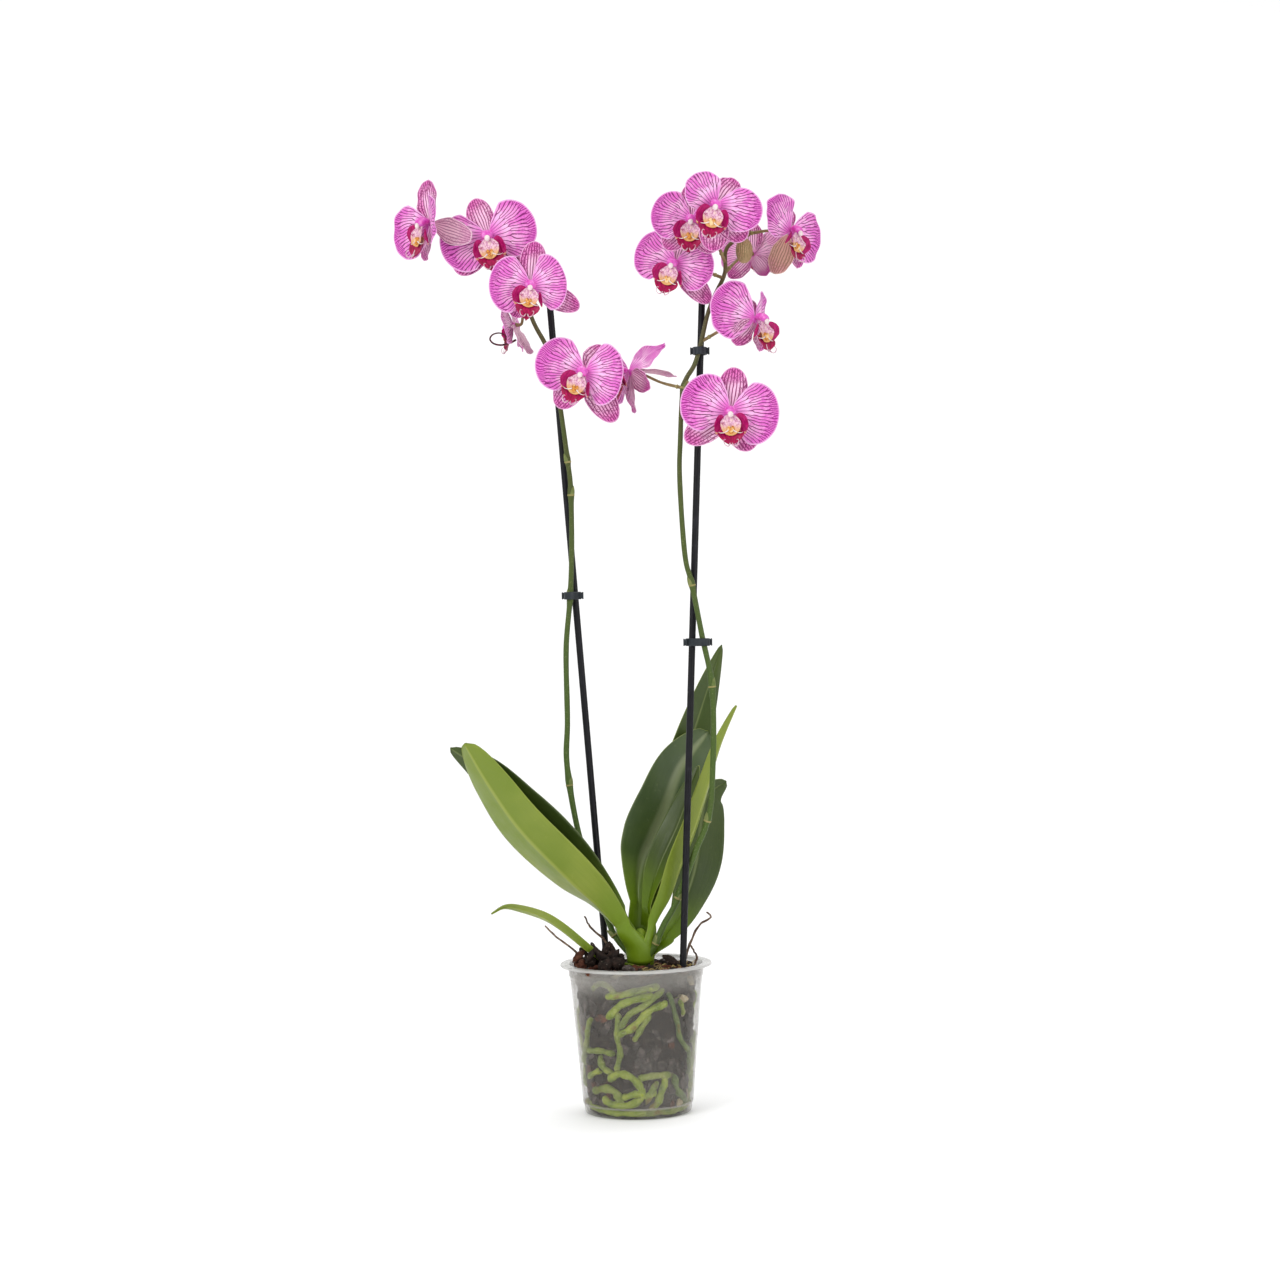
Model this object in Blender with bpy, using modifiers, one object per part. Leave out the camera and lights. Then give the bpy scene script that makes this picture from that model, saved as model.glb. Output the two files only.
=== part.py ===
"""Potted moth orchid: a two-spiked Phalaenopsis with thirteen blooms in a clear 12 cm pot.

Metres, +Z up. The origin is the centre of the pot's flat underside. The camera side is -Y.
"""

import math
import random

import bmesh
import bpy
from mathutils import Matrix, Vector

MM = 0.001

# Clearance between pieces that touch or rest on each other
GAP = 0.3 * MM

# Pot
POT_HEIGHT = 118 * MM
POT_WALL = 1.0 * MM
POT_FLOOR = 1.2 * MM
POT_STEPS = 24
FOOT_RADIUS = 41.5 * MM
STEP_RADIUS = 43.7 * MM
STEP_HEIGHT = 8 * MM
NECK_RADIUS = 52.3 * MM
NECK_HEIGHT = 107 * MM
FLANGE_RADIUS = 60 * MM
FLANGE_THICKNESS = 2.0 * MM
DRAIN_COUNT = 6
DRAIN_RADIUS = 3.5 * MM
DRAIN_CIRCLE = 27 * MM

# Bark mix
BARK_TOP = 117 * MM
BARK_STEPS = 20
CHIP_COUNT = 12
CHIP_SIZE = (17 * MM, 11 * MM, 6 * MM)

# Crown and roots
CROWN_CENTRE = Vector((4, 0, 128)) * MM
CROWN_RADII = (10 * MM, 9 * MM, 24 * MM)
CROWN_SIDES = (10, 8)
ROOT_RADIUS = 2.9 * MM

# Stakes and clips
STAKE_RADIUS = 2.7 * MM
CLIP_HEIGHT = 6 * MM
CLIP_WALL = 1.2 * MM
CLIP_ROOM = 6 * GAP
CLIP_TAB = (4.4 * MM, 3.4 * MM)

# Spikes
STEM_RADIUS_LOW = 2.6 * MM
STEM_RADIUS_TOP = 1.5 * MM
PEDICEL_RADIUS = 1.25 * MM
FINE_POINTS = 400
NODE_REACH = (2 * MM, 3 * MM)
NODE_STEP = (1.0 * MM, 0.3 * MM)
STALK_BACK = 9 * MM
HUB_BACK = 3 * MM
TIP_BUD = (2.2 * MM, 2 * MM, 3.4 * MM)

# Blooms, at scale 1
PETAL_LENGTH = 41 * MM
PETAL_WIDTH = 49 * MM
PETAL_ANGLE = 80
PETAL_CUP = 2 * MM
PETAL_BEND = 3 * MM
SEPAL_LENGTH = 39 * MM
SEPAL_WIDTH = 27 * MM
SEPAL_CUP = 2 * MM
SEPAL_BEND = 2 * MM
TEPAL_THICKNESS = 0.7 * MM
TEPAL_START = 0.8 * MM
HUB_RADII = (3.2 * MM, 2.2 * MM, 3.2 * MM)

# Lip, in mm: tubes as (points, radii), blades as (length, width, angle, tilt, cup, bend, start, twist)
COLUMN = ([(0, -1.8, 0.3), (0, -5, 0.2), (0, -9, -1.8)], (2.2, 2.2, 2.8))
LIP_FOOT = ([(0, -4, -0.5), (0, -6.5, -6), (0, -9, -13)], (1.8, 1.7, 2.2))
MIDLOBE = (18, 17, 180, 24, 4, 0, (0, -8.5, -11.5), 0)
SIDE_LOBE = (16, 11, 56, 14, -2, -2, (1.5, -8.5, -13), 20)
TENDRIL = ([(0.8, -15, -26.5), (3.5, -19.5, -28.5), (6.5, -19.5, -22.5)], (0.5, 0.5, 0.5))

# Leaves
LEAF_THICKNESS = 1.8 * MM

# Roots that show at the pot's wall: (degrees round from the front, + to the right, height in mm)
WALL_ROOTS = [
    [(-48, 96), (-32, 99), (-24, 96), (-19, 90)],
    [(-22, 88), (-6, 91), (14, 94)],
    [(-21, 73), (-10, 81), (8, 86)],
    [(-10, 60), (4, 68), (20, 79)],
    [(35, 92), (40, 80), (46, 68), (51, 50)],
    [(-62, 68), (-66, 58), (-74, 46), (-60, 30)],
    [(-60, 46), (-42, 46), (-24, 48), (-19, 34)],
    [(-54, 30), (-36, 26), (-8, 27), (6, 20), (0, 12), (-22, 10), (-46, 14)],
    [(66, 28), (44, 20), (20, 10)],
    [(100, 90), (112, 70), (108, 45), (130, 22)],
    [(162, 90), (170, 70), (158, 45), (172, 24)],
    [(-122, 88), (-128, 60), (-140, 34), (-165, 16)],
]

# Thin dry roots above the bark, in mm
DRY_ROOTS = [
    [(0, -2, 112), (-26, -9, 113), (-40, -11, 122), (-49, -12, 130), (-65, -12, 143), (-72, -12, 151)],
    [(0, 2, 112), (-14, 5, 114), (-24, 6, 134), (-33, 6, 143), (-37, 6, 148), (-41, 6, 156)],
    [(6, 2, 112), (34, 5, 112), (44, 6, 133), (51, 6, 146), (60, 6, 152), (56, 6, 157)],
    [(6, 0, 110), (40, 2, 110), (48, 3, 119), (46, 3, 126), (42, 3, 133)],
]
DRY_ROOT_RADIUS = 1.0 * MM

# Stakes: foot deep in the bark and top, in mm
STAKES = {
    "stake_left": ((-18, 23, 38), (-60, 15.6, 655)),
    "stake_right": ((33.3, -19.2, 38), (61.3, -10, 645)),
}

# Leaves: midline in mm from the crown outwards, full width, direction across the blade, fold
LEAVES = {
    "leaf_a": ([(0, -7, 130), (-27, -16, 163), (-51, -25, 187), (-87, -39, 227), (-110, -48, 262),
                (-129, -58, 297)], 56, (0.45, -0.75, 0.5), 0.16),
    "leaf_b": ([(-4, 1, 140), (-24, -4, 170), (-46, -10, 196), (-66, -16, 216), (-90, -25, 243),
                (-116, -34, 274), (-141, -42, 293)], 50, (0.55, -0.6, 0.55), 0.12),
    "leaf_c": ([(4, 7, 147), (2, 16, 175), (6, 26, 197), (14, 33, 213), (26, 43, 238), (39, 55, 269),
                (62, 69, 296)], 54, (0.85, 0.2, -0.45), 0.12),
    "leaf_d": ([(5, 7, 128), (7, 22, 148), (10, 38, 180), (20, 54, 215), (36, 68, 255),
                (52, 78, 300), (64, 84, 335), (75, 88, 366)], 34, (0.9, 0.2, -0.3), 0.2),
    "leaf_e": ([(9, -4, 136), (18, -3, 154), (28, -1, 171), (37, 0, 197), (47, 0, 222), (58, 0, 255),
                (69, 0, 289), (83, 0, 320)], 28, (0.45, 0.85, -0.2), 0.3),
    "leaf_f": ([(13, 4, 128), (32, 14, 148), (43, 23, 172), (50, 29, 196), (54, 32, 225), (60, 34, 247),
                (75, 34, 258)], 42, (0.85, 0.4, -0.25), 0.15),
    "leaf_g": ([(7, 3, 146), (14, 6, 176), (22, 9, 197), (35, 12, 224), (45, 13, 250), (53, 14, 272)],
               26, (0.75, -0.5, -0.3), 0.25),
    "leaf_h": ([(-5, -6, 121), (-23, -14, 121), (-36, -18, 129), (-57, -26, 148), (-72, -30, 159),
                (-89, -34, 166), (-101, -37, 168), (-112, -40, 163)], 14, (0.2, -0.8, 0.5), 0.1),
}

# Spikes: stem path in mm, places of the nodes along it from 0 to 1
SPIKES = {
    "spike_right": ([(9, -5, 121), (16, -7, 134), (23, -8, 149), (33, -9.5, 167), (49, -14, 208),
                     (57, -17, 227), (62, -19, 253), (64, -20, 329), (56, -20, 378), (49, -20, 417),
                     (44, -20, 440), (41, -20, 498), (42, -20, 529), (45, -20, 570), (54, -18, 588),
                     (59, -17.5, 603), (65, -19, 627), (71, -19, 642), (79, -18, 659), (80, -16, 676),
                     (86, -14, 684), (98, -13, 691)],
                    (0.05, 0.15, 0.25, 0.34, 0.43, 0.62)),
    "spike_left": ([(-4, 6, 123), (-15, 10, 136), (-20, 12, 146), (-32, 14, 182), (-44, 14, 221),
                    (-52, 14, 274), (-51, 14, 310), (-51, 13, 366), (-47, 13, 409), (-45, 12, 450),
                    (-45, 11, 494), (-47, 11, 516), (-52, 10.5, 558), (-56, 10, 584), (-62, 8, 606),
                    (-72, 8, 626), (-82, 9, 655), (-94, 8, 679), (-121, 4, 695), (-140, 0, 702)],
                   (0.07, 0.25, 0.42, 0.52, 0.58)),
}
SPIKE_POINTS = 24

# Faces that meet flatter than this become one after a union
FLAT_ANGLE = math.radians(0.3)

# Clips: spike, stake and height in mm
CLIPS = {
    "clip_left": ("spike_left", "stake_left", 409),
    "clip_right_lower": ("spike_right", "stake_right", 371),
    "clip_right_upper": ("spike_right", "stake_right", 599),
}

# Blooms: centre in mm, yaw (+ faces right), pitch (+ faces up), roll (+ clockwise), scale,
# the spike it grows on and the height in mm at which its stalk leaves the stem
BLOOMS = {
    "l1": ((-158, -20, 703), -54, 0, 4, 0.90, "spike_left", 702),
    "l2": ((-105, -20, 691), -5, 0, -10, 0.93, "spike_left", 694),
    "l3": ((-72, -40, 650), 0, 0, 8, 0.78, "spike_left", 662),
    "l4": ((-88, 14, 624), -100, -12, 0, 0.75, "spike_left", 645),
    "l5": ((-32, -28, 583), -12, 0, 22, 0.86, "spike_left", 572),
    "r1": ((71, -76, 705), 0, 0, 14, 0.87, "spike_right", 690),
    "r2": ((53, -52, 697), -4, 0, 5, 0.76, "spike_right", 668),
    "r3": ((40, -30, 666), -15, 0, 15, 0.80, "spike_right", 655),
    "r4": ((102, -28, 622), 48, 0, 6, 0.90, "spike_right", 606),
    "r5": ((80, -56, 549), 0, 0, 0, 0.91, "spike_right", 575),
    "r6": ((131, -14, 691), 46, 0, 22, 0.84, "spike_right", 690),
    "r7": ((103, 17, 677), 155, -10, 0, 0.7, "spike_right", 660),
    "r8": ((3, 8, 585), -70, 0, -22, 0.86, "spike_right", 570),
}

# The common form of a bloom: directions of its two lower sepals, the lean, twist and start of each,
# the backward lean and start of its top sepal and the forward lean of its petals, then the blooms that
# depart from it, and points that a stalk passes. Degrees and mm.
LATERALS = (-138, 138)
SEPAL_SEAT = (-8, 0, (0, 1.4, 0))
DORSAL_SEAT = (5, (0, 1.4, 0))
PETAL_LEAN = (7, 7)
DORSAL_SEATS = {"r1": (40, (0, 1.4, 0)), "l5": (40, (0, 1.4, 0)), "r4": (38, (0, 1.4, 0)),
                "r6": (40, (0, 1.4, 0)), "r8": (80, (0, -0.6, 2.4))}
LATERAL_ANGLES = {"r1": (-190, 125), "r6": (-197, 118)}
LATERAL_SEATS = {"r6": ((-24, -100, (0, 0.8, -1.8)), SEPAL_SEAT)}
PETAL_TILTS = {"r1": (20, 7), "r4": (-22, -22), "r8": (7, -27)}
STALK_VIA = {"r1": [(99, -38, 700), (94, -62, 708)], "r2": [(68, -36, 690)], "r8": [(28, 0, 576)]}

# Bud: centre in mm, half sizes in mm
BUD_CENTRE = Vector((94, -24, 676)) * MM
BUD_RADII = (7 * MM, 6.5 * MM, 10 * MM)
BUD_STALK = [(90, -13.6, 687), (94, -18, 693), (96, -22, 692), (94.1, -24, 686.3)]


def clear_scene():
    """Remove what the scene holds."""
    for obj in list(bpy.data.objects):
        bpy.data.objects.remove(obj, do_unlink=True)


def new_collection(name):
    """A collection linked to the scene."""
    group = bpy.data.collections.new(name)
    bpy.context.scene.collection.children.link(group)
    return group


clear_scene()
PARTS = new_collection("potted_moth_orchid")
CUTTERS = new_collection("cutters")


def plain_material(name, colour, roughness=0.5, transmission=0.0):
    """A Principled material, colour as linear RGB."""
    mat = bpy.data.materials.new(name)
    mat.use_nodes = True
    shader = mat.node_tree.nodes["Principled BSDF"]
    shader.inputs["Base Color"].default_value = (*colour, 1)
    shader.inputs["Roughness"].default_value = roughness
    shader.inputs["Metallic"].default_value = 0
    shader.inputs["Transmission Weight"].default_value = transmission
    return mat


POT_PLASTIC = plain_material("pot_plastic", (0.72, 0.73, 0.74), 0.25, 0.7)
BARK = plain_material("bark", (0.05, 0.03, 0.022), 0.9)
ROOT_SKIN = plain_material("root_skin", (0.26, 0.34, 0.08), 0.6)
LEAF_GREEN = plain_material("leaf_green", (0.10, 0.17, 0.03), 0.45)
STEM_GREEN = plain_material("stem_green", (0.11, 0.17, 0.04), 0.5)
STAKE_DARK = plain_material("stake_dark", (0.02, 0.02, 0.03), 0.5)
CLIP_PLASTIC = plain_material("clip_plastic", (0.02, 0.025, 0.03), 0.4)
TEPAL_PINK = plain_material("tepal_pink", (0.72, 0.25, 0.62), 0.55)
LIP_CRIMSON = plain_material("lip_crimson", (0.42, 0.01, 0.10), 0.45)
BUD_SKIN = plain_material("bud_skin", (0.45, 0.30, 0.22), 0.55)


def mesh_from(bm, name):
    """A mesh from a bmesh, which is freed."""
    mesh = bpy.data.meshes.new(name)
    bm.to_mesh(mesh)
    bm.free()
    return mesh


def drop(obj):
    """Remove an object and its data."""
    data = obj.data
    bpy.data.objects.remove(obj, do_unlink=True)
    if isinstance(data, bpy.types.Mesh):
        bpy.data.meshes.remove(data)
    else:
        bpy.data.curves.remove(data)


def bake(obj, name=None):
    """Turn an object into a plain mesh object with its modifiers applied and its caps welded."""
    bpy.context.view_layer.update()
    graph = bpy.context.evaluated_depsgraph_get()
    mesh = bpy.data.meshes.new_from_object(obj.evaluated_get(graph))
    mesh.transform(obj.matrix_world)
    bm = bmesh.new()
    bm.from_mesh(mesh)
    bmesh.ops.remove_doubles(bm, verts=bm.verts, dist=0.00001)
    bm.to_mesh(mesh)
    bm.free()
    label = name or obj.name
    drop(obj)
    done = bpy.data.objects.new(label, mesh)
    done.name = label
    CUTTERS.objects.link(done)
    return done


def combine(base, others, operation, solver="EXACT"):
    """One Boolean of base with every object in others, applied. The others are removed."""
    group = new_collection("operands")
    for obj in others:
        group.objects.link(obj)
    step = base.modifiers.new("combine", "BOOLEAN")
    step.operation = operation
    step.operand_type = "COLLECTION"
    step.collection = group
    step.solver = solver
    label = base.name
    result = bake(base, label)
    for obj in list(group.objects):
        drop(obj)
    bpy.data.collections.remove(group)
    return result


def finish(obj, name, material):
    """Give a baked mesh its node name and material, in the parts collection."""
    CUTTERS.objects.unlink(obj)
    PARTS.objects.link(obj)
    obj.name = name
    obj.data.materials.clear()
    obj.data.materials.append(material)
    obj.data.shade_smooth()
    obj.data.set_sharp_from_angle(angle=math.radians(40))
    return obj


def smooth_path(points, count):
    """Points of a Catmull-Rom curve through the given points, evenly shared among its spans."""
    pts = [Vector(p) for p in points]
    ends = [2 * pts[0] - pts[1]] + pts + [2 * pts[-1] - pts[-2]]
    out = []
    for i in range(count):
        at = i / (count - 1) * (len(pts) - 1)
        k = min(int(at), len(pts) - 2)
        u = at - k
        a, b, c, d = ends[k:k + 4]
        out.append(0.5 * (2 * b + (c - a) * u + (2 * a - 5 * b + 4 * c - d) * u * u
                          + (3 * b - a - 3 * c + d) * u ** 3))
    return out


def tube(points, radii, sides_level=1):
    """A closed mesh tube. radii is one radius or one for each point."""
    curve = bpy.data.curves.new("tube", "CURVE")
    curve.dimensions = "3D"
    curve.bevel_resolution = sides_level
    curve.use_fill_caps = True
    if not isinstance(radii, (list, tuple)):
        radii = [radii] * len(points)
    curve.bevel_depth = 1.0
    line = curve.splines.new("POLY")
    line.points.add(len(points) - 1)
    for spot, place, radius in zip(line.points, points, radii):
        spot.co = (*place, 1)
        spot.radius = radius
    obj = bpy.data.objects.new("tube", curve)
    CUTTERS.objects.link(obj)
    return bake(obj)


def taper(first, last, count):
    """Radii that run evenly from first to last."""
    return [first + (last - first) * i / (count - 1) for i in range(count)]


def ball(centre, radii, u=8, v=6):
    """A closed ellipsoid."""
    bm = bmesh.new()
    size = Matrix.Diagonal((*radii, 1))
    bmesh.ops.create_uvsphere(bm, u_segments=u, v_segments=v, radius=1,
                              matrix=Matrix.Translation(centre) @ size)
    obj = bpy.data.objects.new("ball", mesh_from(bm, "ball"))
    CUTTERS.objects.link(obj)
    return obj


def revolve(profile, steps, name):
    """A turned solid. The profile runs from the axis, out and back to the axis, as (radius, height)."""
    bm = bmesh.new()
    verts = [bm.verts.new((r, 0, z)) for r, z in profile]
    for a, b in zip(verts, verts[1:]):
        bm.edges.new((a, b))
    obj = bpy.data.objects.new(name, mesh_from(bm, name))
    CUTTERS.objects.link(obj)
    turn = obj.modifiers.new("turn", "SCREW")
    turn.axis = "Z"
    turn.angle = math.tau
    turn.steps = steps
    turn.render_steps = steps
    turn.use_merge_vertices = True
    turn.merge_threshold = 0.00005
    return bake(obj)


def wall_radius(z):
    """The pot's outer radius at a height between the step ring and the neck."""
    share = (z - STEP_HEIGHT) / (NECK_HEIGHT - STEP_HEIGHT)
    return STEP_RADIUS + (NECK_RADIUS - STEP_RADIUS) * share


def build_pot():
    """The clear pot: one thin shell with a flange, a step ring and drainage holes."""
    inner_step = STEP_RADIUS - POT_WALL
    inner_neck = NECK_RADIUS - POT_WALL
    flange_low = POT_HEIGHT - FLANGE_THICKNESS
    profile = [
        (0, POT_FLOOR), (FOOT_RADIUS - POT_WALL, POT_FLOOR),
        (inner_step - 0.4 * MM, STEP_HEIGHT - 1.5 * MM), (inner_step, STEP_HEIGHT),
        (inner_neck, NECK_HEIGHT), (inner_neck + 0.9 * MM, NECK_HEIGHT + 2 * MM),
        (inner_neck + 1.3 * MM, POT_HEIGHT),
        (FLANGE_RADIUS - 0.6 * MM, POT_HEIGHT), (FLANGE_RADIUS, POT_HEIGHT - 0.8 * MM),
        (FLANGE_RADIUS, flange_low),
        (NECK_RADIUS + 1.5 * MM, flange_low), (NECK_RADIUS + 0.9 * MM, NECK_HEIGHT + 1.6 * MM),
        (NECK_RADIUS, NECK_HEIGHT - 0.4 * MM),
        (STEP_RADIUS, STEP_HEIGHT), (STEP_RADIUS - 0.9 * MM, STEP_HEIGHT - 1.5 * MM),
        (FOOT_RADIUS + 0.6 * MM, 1.0 * MM), (FOOT_RADIUS - 0.6 * MM, 0),
        (0, 0),
    ]
    pot = revolve(profile, POT_STEPS, "pot")
    drains = []
    for i in range(DRAIN_COUNT):
        angle = math.tau * i / DRAIN_COUNT
        bm = bmesh.new()
        bmesh.ops.create_cone(bm, cap_ends=True, segments=6, radius1=DRAIN_RADIUS,
                              radius2=DRAIN_RADIUS, depth=4 * POT_FLOOR)
        spot = Vector((math.cos(angle), math.sin(angle), 0)) * DRAIN_CIRCLE
        bmesh.ops.translate(bm, verts=bm.verts, vec=spot + Vector((0, 0, POT_FLOOR / 2)))
        drain = bpy.data.objects.new("drain", mesh_from(bm, "drain"))
        CUTTERS.objects.link(drain)
        drains.append(drain)
    return finish(combine(pot, drains, "DIFFERENCE"), "pot", POT_PLASTIC)


def mm(points):
    """Points in metres from points in millimetres."""
    return [Vector(p) * MM for p in points]


def join_flat(obj):
    """Join the flat faces that a Boolean has split, where the mesh stays closed by it."""
    bm = bmesh.new()
    bm.from_mesh(obj.data)
    bmesh.ops.dissolve_limit(bm, angle_limit=FLAT_ANGLE, verts=bm.verts, edges=bm.edges)
    bmesh.ops.triangulate(bm, faces=bm.faces)
    if all(edge.is_manifold for edge in bm.edges):
        bm.to_mesh(obj.data)
    bm.free()
    return obj


def union_all(pieces, solver="MANIFOLD"):
    """One body from a list of closed meshes."""
    return join_flat(combine(pieces[0], pieces[1:], "UNION", solver))


def keep_largest(obj):
    """Drop every loose scrap but the largest body."""
    bm = bmesh.new()
    bm.from_mesh(obj.data)
    left = set(bm.verts)
    bodies = []
    while left:
        stack = [left.pop()]
        body = set(stack)
        while stack:
            for edge in stack.pop().link_edges:
                for vert in edge.verts:
                    if vert in left:
                        left.discard(vert)
                        body.add(vert)
                        stack.append(vert)
        bodies.append(body)
    bodies.sort(key=len)
    scraps = [v for body in bodies[:-1] for v in body]
    bmesh.ops.delete(bm, geom=scraps, context="VERTS")
    bm.to_mesh(obj.data)
    bm.free()
    return obj


def wall_root_paths():
    """Each fat root's points: out of the crown, down through the bark and along the wall."""
    paths = []
    for spots in WALL_ROOTS:
        wall = []
        for degrees, height in spots:
            z = max(height * MM, ROOT_RADIUS + POT_FLOOR + 2 * GAP)
            radius = wall_radius(z) - POT_WALL - ROOT_RADIUS - 4 * GAP
            angle = math.radians(degrees)
            wall.append(Vector((math.sin(angle) * radius, -math.cos(angle) * radius, z)))
        start = Vector((CROWN_CENTRE.x, CROWN_CENTRE.y, 108 * MM))
        first = wall[0]
        bend = Vector((first.x * 0.4, first.y * 0.4, min(first.z + 8 * MM, 103 * MM)))
        inner = Vector((first.x * 0.8, first.y * 0.8, first.z + 2 * MM))
        paths.append(smooth_path([start, bend, inner] + wall, len(wall) + 4))
    return paths


def stem_point(spike, height):
    """The point of a spike's stem nearest a height, looking from the foot up."""
    path = smooth_path(mm(SPIKES[spike][0]), FINE_POINTS)
    return min(path, key=lambda p: abs(p.z - height))


def stake_point(stake, height):
    """The centre of a stake at a height."""
    foot, top = mm(STAKES[stake])
    return foot + (top - foot) * ((height - foot.z) / (top.z - foot.z))


def build_stakes():
    """Two straight rods pushed into the bark."""
    for name, ends in STAKES.items():
        finish(tube(mm(ends), STAKE_RADIUS, 2), name, STAKE_DARK)


def channel(path, radius, room):
    """A cutter for a tube's bed: wider than the tube by a clearance, and longer at its far end."""
    tip = path[-1] + (path[-1] - path[-2]).normalized() * room
    return tube(path[:-1] + [tip], radius + room, 0)


def build_roots_and_bark():
    """The crown with its roots, and the bark mix that they and the stakes run through."""
    room = 2 * GAP
    pieces = [ball(CROWN_CENTRE, CROWN_RADII, *CROWN_SIDES)]
    cutters = [ball(CROWN_CENTRE, [r + room for r in CROWN_RADII], *CROWN_SIDES)]
    for path in wall_root_paths():
        pieces.append(tube(path, ROOT_RADIUS, 0))
        cutters.append(channel(path, ROOT_RADIUS, room))
    for spots in DRY_ROOTS:
        path = smooth_path(mm(spots), 9)
        pieces.append(tube(path, taper(DRY_ROOT_RADIUS * 1.3, DRY_ROOT_RADIUS * 0.7, 9), 0))
        cutters.append(channel(path, DRY_ROOT_RADIUS * 1.3, room))
    for stake in STAKES:
        foot, top = mm(STAKES[stake])
        run = (top - foot).normalized() * 8 * MM
        cutters.append(tube([foot - run, stake_point(stake, 150 * MM)], STAKE_RADIUS + room, 2))
    finish(union_all(pieces), "crown_and_roots", ROOT_SKIN)

    edge = NECK_RADIUS - POT_WALL - 2 * GAP
    low = STEP_RADIUS - POT_WALL - 3 * GAP
    profile = [
        (0, POT_FLOOR + GAP), (FOOT_RADIUS - POT_WALL - 2 * GAP, POT_FLOOR + GAP),
        (low, STEP_HEIGHT + 1 * MM), (edge - 0.5 * MM, NECK_HEIGHT - 2 * MM),
        (edge - 3 * MM, BARK_TOP - 4 * MM), (edge - 22 * MM, BARK_TOP), (0, BARK_TOP),
    ]
    bark = revolve(profile[::-1], BARK_STEPS, "bark")
    rng = random.Random(7)
    chips = []
    for i in range(CHIP_COUNT):
        turn = math.tau * i / CHIP_COUNT * 1.618 * 2
        reach = 14 * MM + 22 * MM * math.sqrt((i + 0.5) / CHIP_COUNT)
        mound = 5 * MM if math.cos(turn) < -0.3 and math.sin(turn) > -0.2 else 0
        bm = bmesh.new()
        bmesh.ops.create_cube(bm, size=1)
        spin = Matrix.Rotation(rng.uniform(0, math.tau), 4, "Z") @ Matrix.Rotation(
            rng.uniform(-0.5, 0.5), 4, "X") @ Matrix.Rotation(rng.uniform(-0.4, 0.4), 4, "Y")
        size = Matrix.Diagonal((*[c * rng.uniform(0.7, 1.1) for c in CHIP_SIZE], 1))
        spot = Vector((math.cos(turn) * reach, math.sin(turn) * reach, BARK_TOP - 1.5 * MM + mound))
        spot.z -= 3 * MM * (reach / edge) ** 3
        bmesh.ops.transform(bm, verts=bm.verts, matrix=Matrix.Translation(spot) @ spin @ size)
        chip = bpy.data.objects.new("chip", mesh_from(bm, "chip"))
        CUTTERS.objects.link(chip)
        chips.append(chip)
    bark = union_all([bark] + chips)
    bark = combine(bark, cutters, "DIFFERENCE", "MANIFOLD")
    finish(join_flat(keep_largest(bark)), "bark_mix", BARK)


def crown_clear(obj):
    """Cut an object back to just clear of the crown."""
    room = [r + GAP for r in CROWN_RADII]
    cut = combine(obj, [ball(CROWN_CENTRE, room, *CROWN_SIDES)], "DIFFERENCE", "MANIFOLD")
    return keep_largest(cut)


def blade(columns, rows, place, thickness, name):
    """A thin closed blade: a grid placed by a function of (across, along), both -1 to 1."""
    bm = bmesh.new()
    bmesh.ops.create_grid(bm, x_segments=columns, y_segments=rows, size=1)
    for vert in bm.verts:
        vert.co = place(vert.co.x, vert.co.y)
    bmesh.ops.triangulate(bm, faces=bm.faces)
    obj = bpy.data.objects.new(name, mesh_from(bm, name))
    CUTTERS.objects.link(obj)
    shell = obj.modifiers.new("thickness", "SOLIDIFY")
    shell.thickness = thickness
    shell.offset = 0
    return bake(obj)


def leaf_width(t):
    """Half the blade's breadth along a leaf, as a share of its widest."""
    if t < 0.55:
        return 0.24 + 0.76 * math.sin(math.pi / 2 * (t / 0.55)) ** 1.3
    return max(math.sqrt(max(1 - ((t - 0.55) / 0.45) ** 2, 0)) ** 0.85, 0.1)


def build_leaves():
    """One thick blade for each leaf, folded along its midrib."""
    rows = 9
    for name, (spine, width, across, fold) in LEAVES.items():
        path = smooth_path(mm(spine), rows)
        side = Vector(across)

        def place(a, b):
            k = min(int(round((b + 1) / 2 * (rows - 1))), rows - 1)
            along = (path[min(k + 1, rows - 1)] - path[max(k - 1, 0)]).normalized()
            flat = (side - along * side.dot(along)).normalized()
            up = flat.cross(along)
            if name in ("leaf_a", "leaf_b", "leaf_h", "leaf_e"):
                up = -up
            t = k / (rows - 1)
            half = width * MM / 2 * leaf_width(t)
            lift = abs(a) * half * (fold + 0.55 * (1 - t) ** 3)
            return path[k] + flat * (a * half * (1 - 0.2 * (1 - t) ** 3)) + up * lift

        leaf = blade(4, rows - 1, place, LEAF_THICKNESS, name)
        finish(crown_clear(leaf), name, LEAF_GREEN)


def bloom_matrix(name):
    """Where a bloom sits and which way it faces: its own -Y is its front and +Z its top."""
    centre, yaw, pitch, roll, scale = BLOOMS[name][:5]
    turn = (Matrix.Rotation(math.radians(yaw), 4, "Z") @ Matrix.Rotation(math.radians(-pitch), 4, "X")
            @ Matrix.Rotation(math.radians(roll), 4, "Y"))
    return Matrix.Translation(Vector(centre) * MM) @ turn @ Matrix.Scale(scale, 4)


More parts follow.
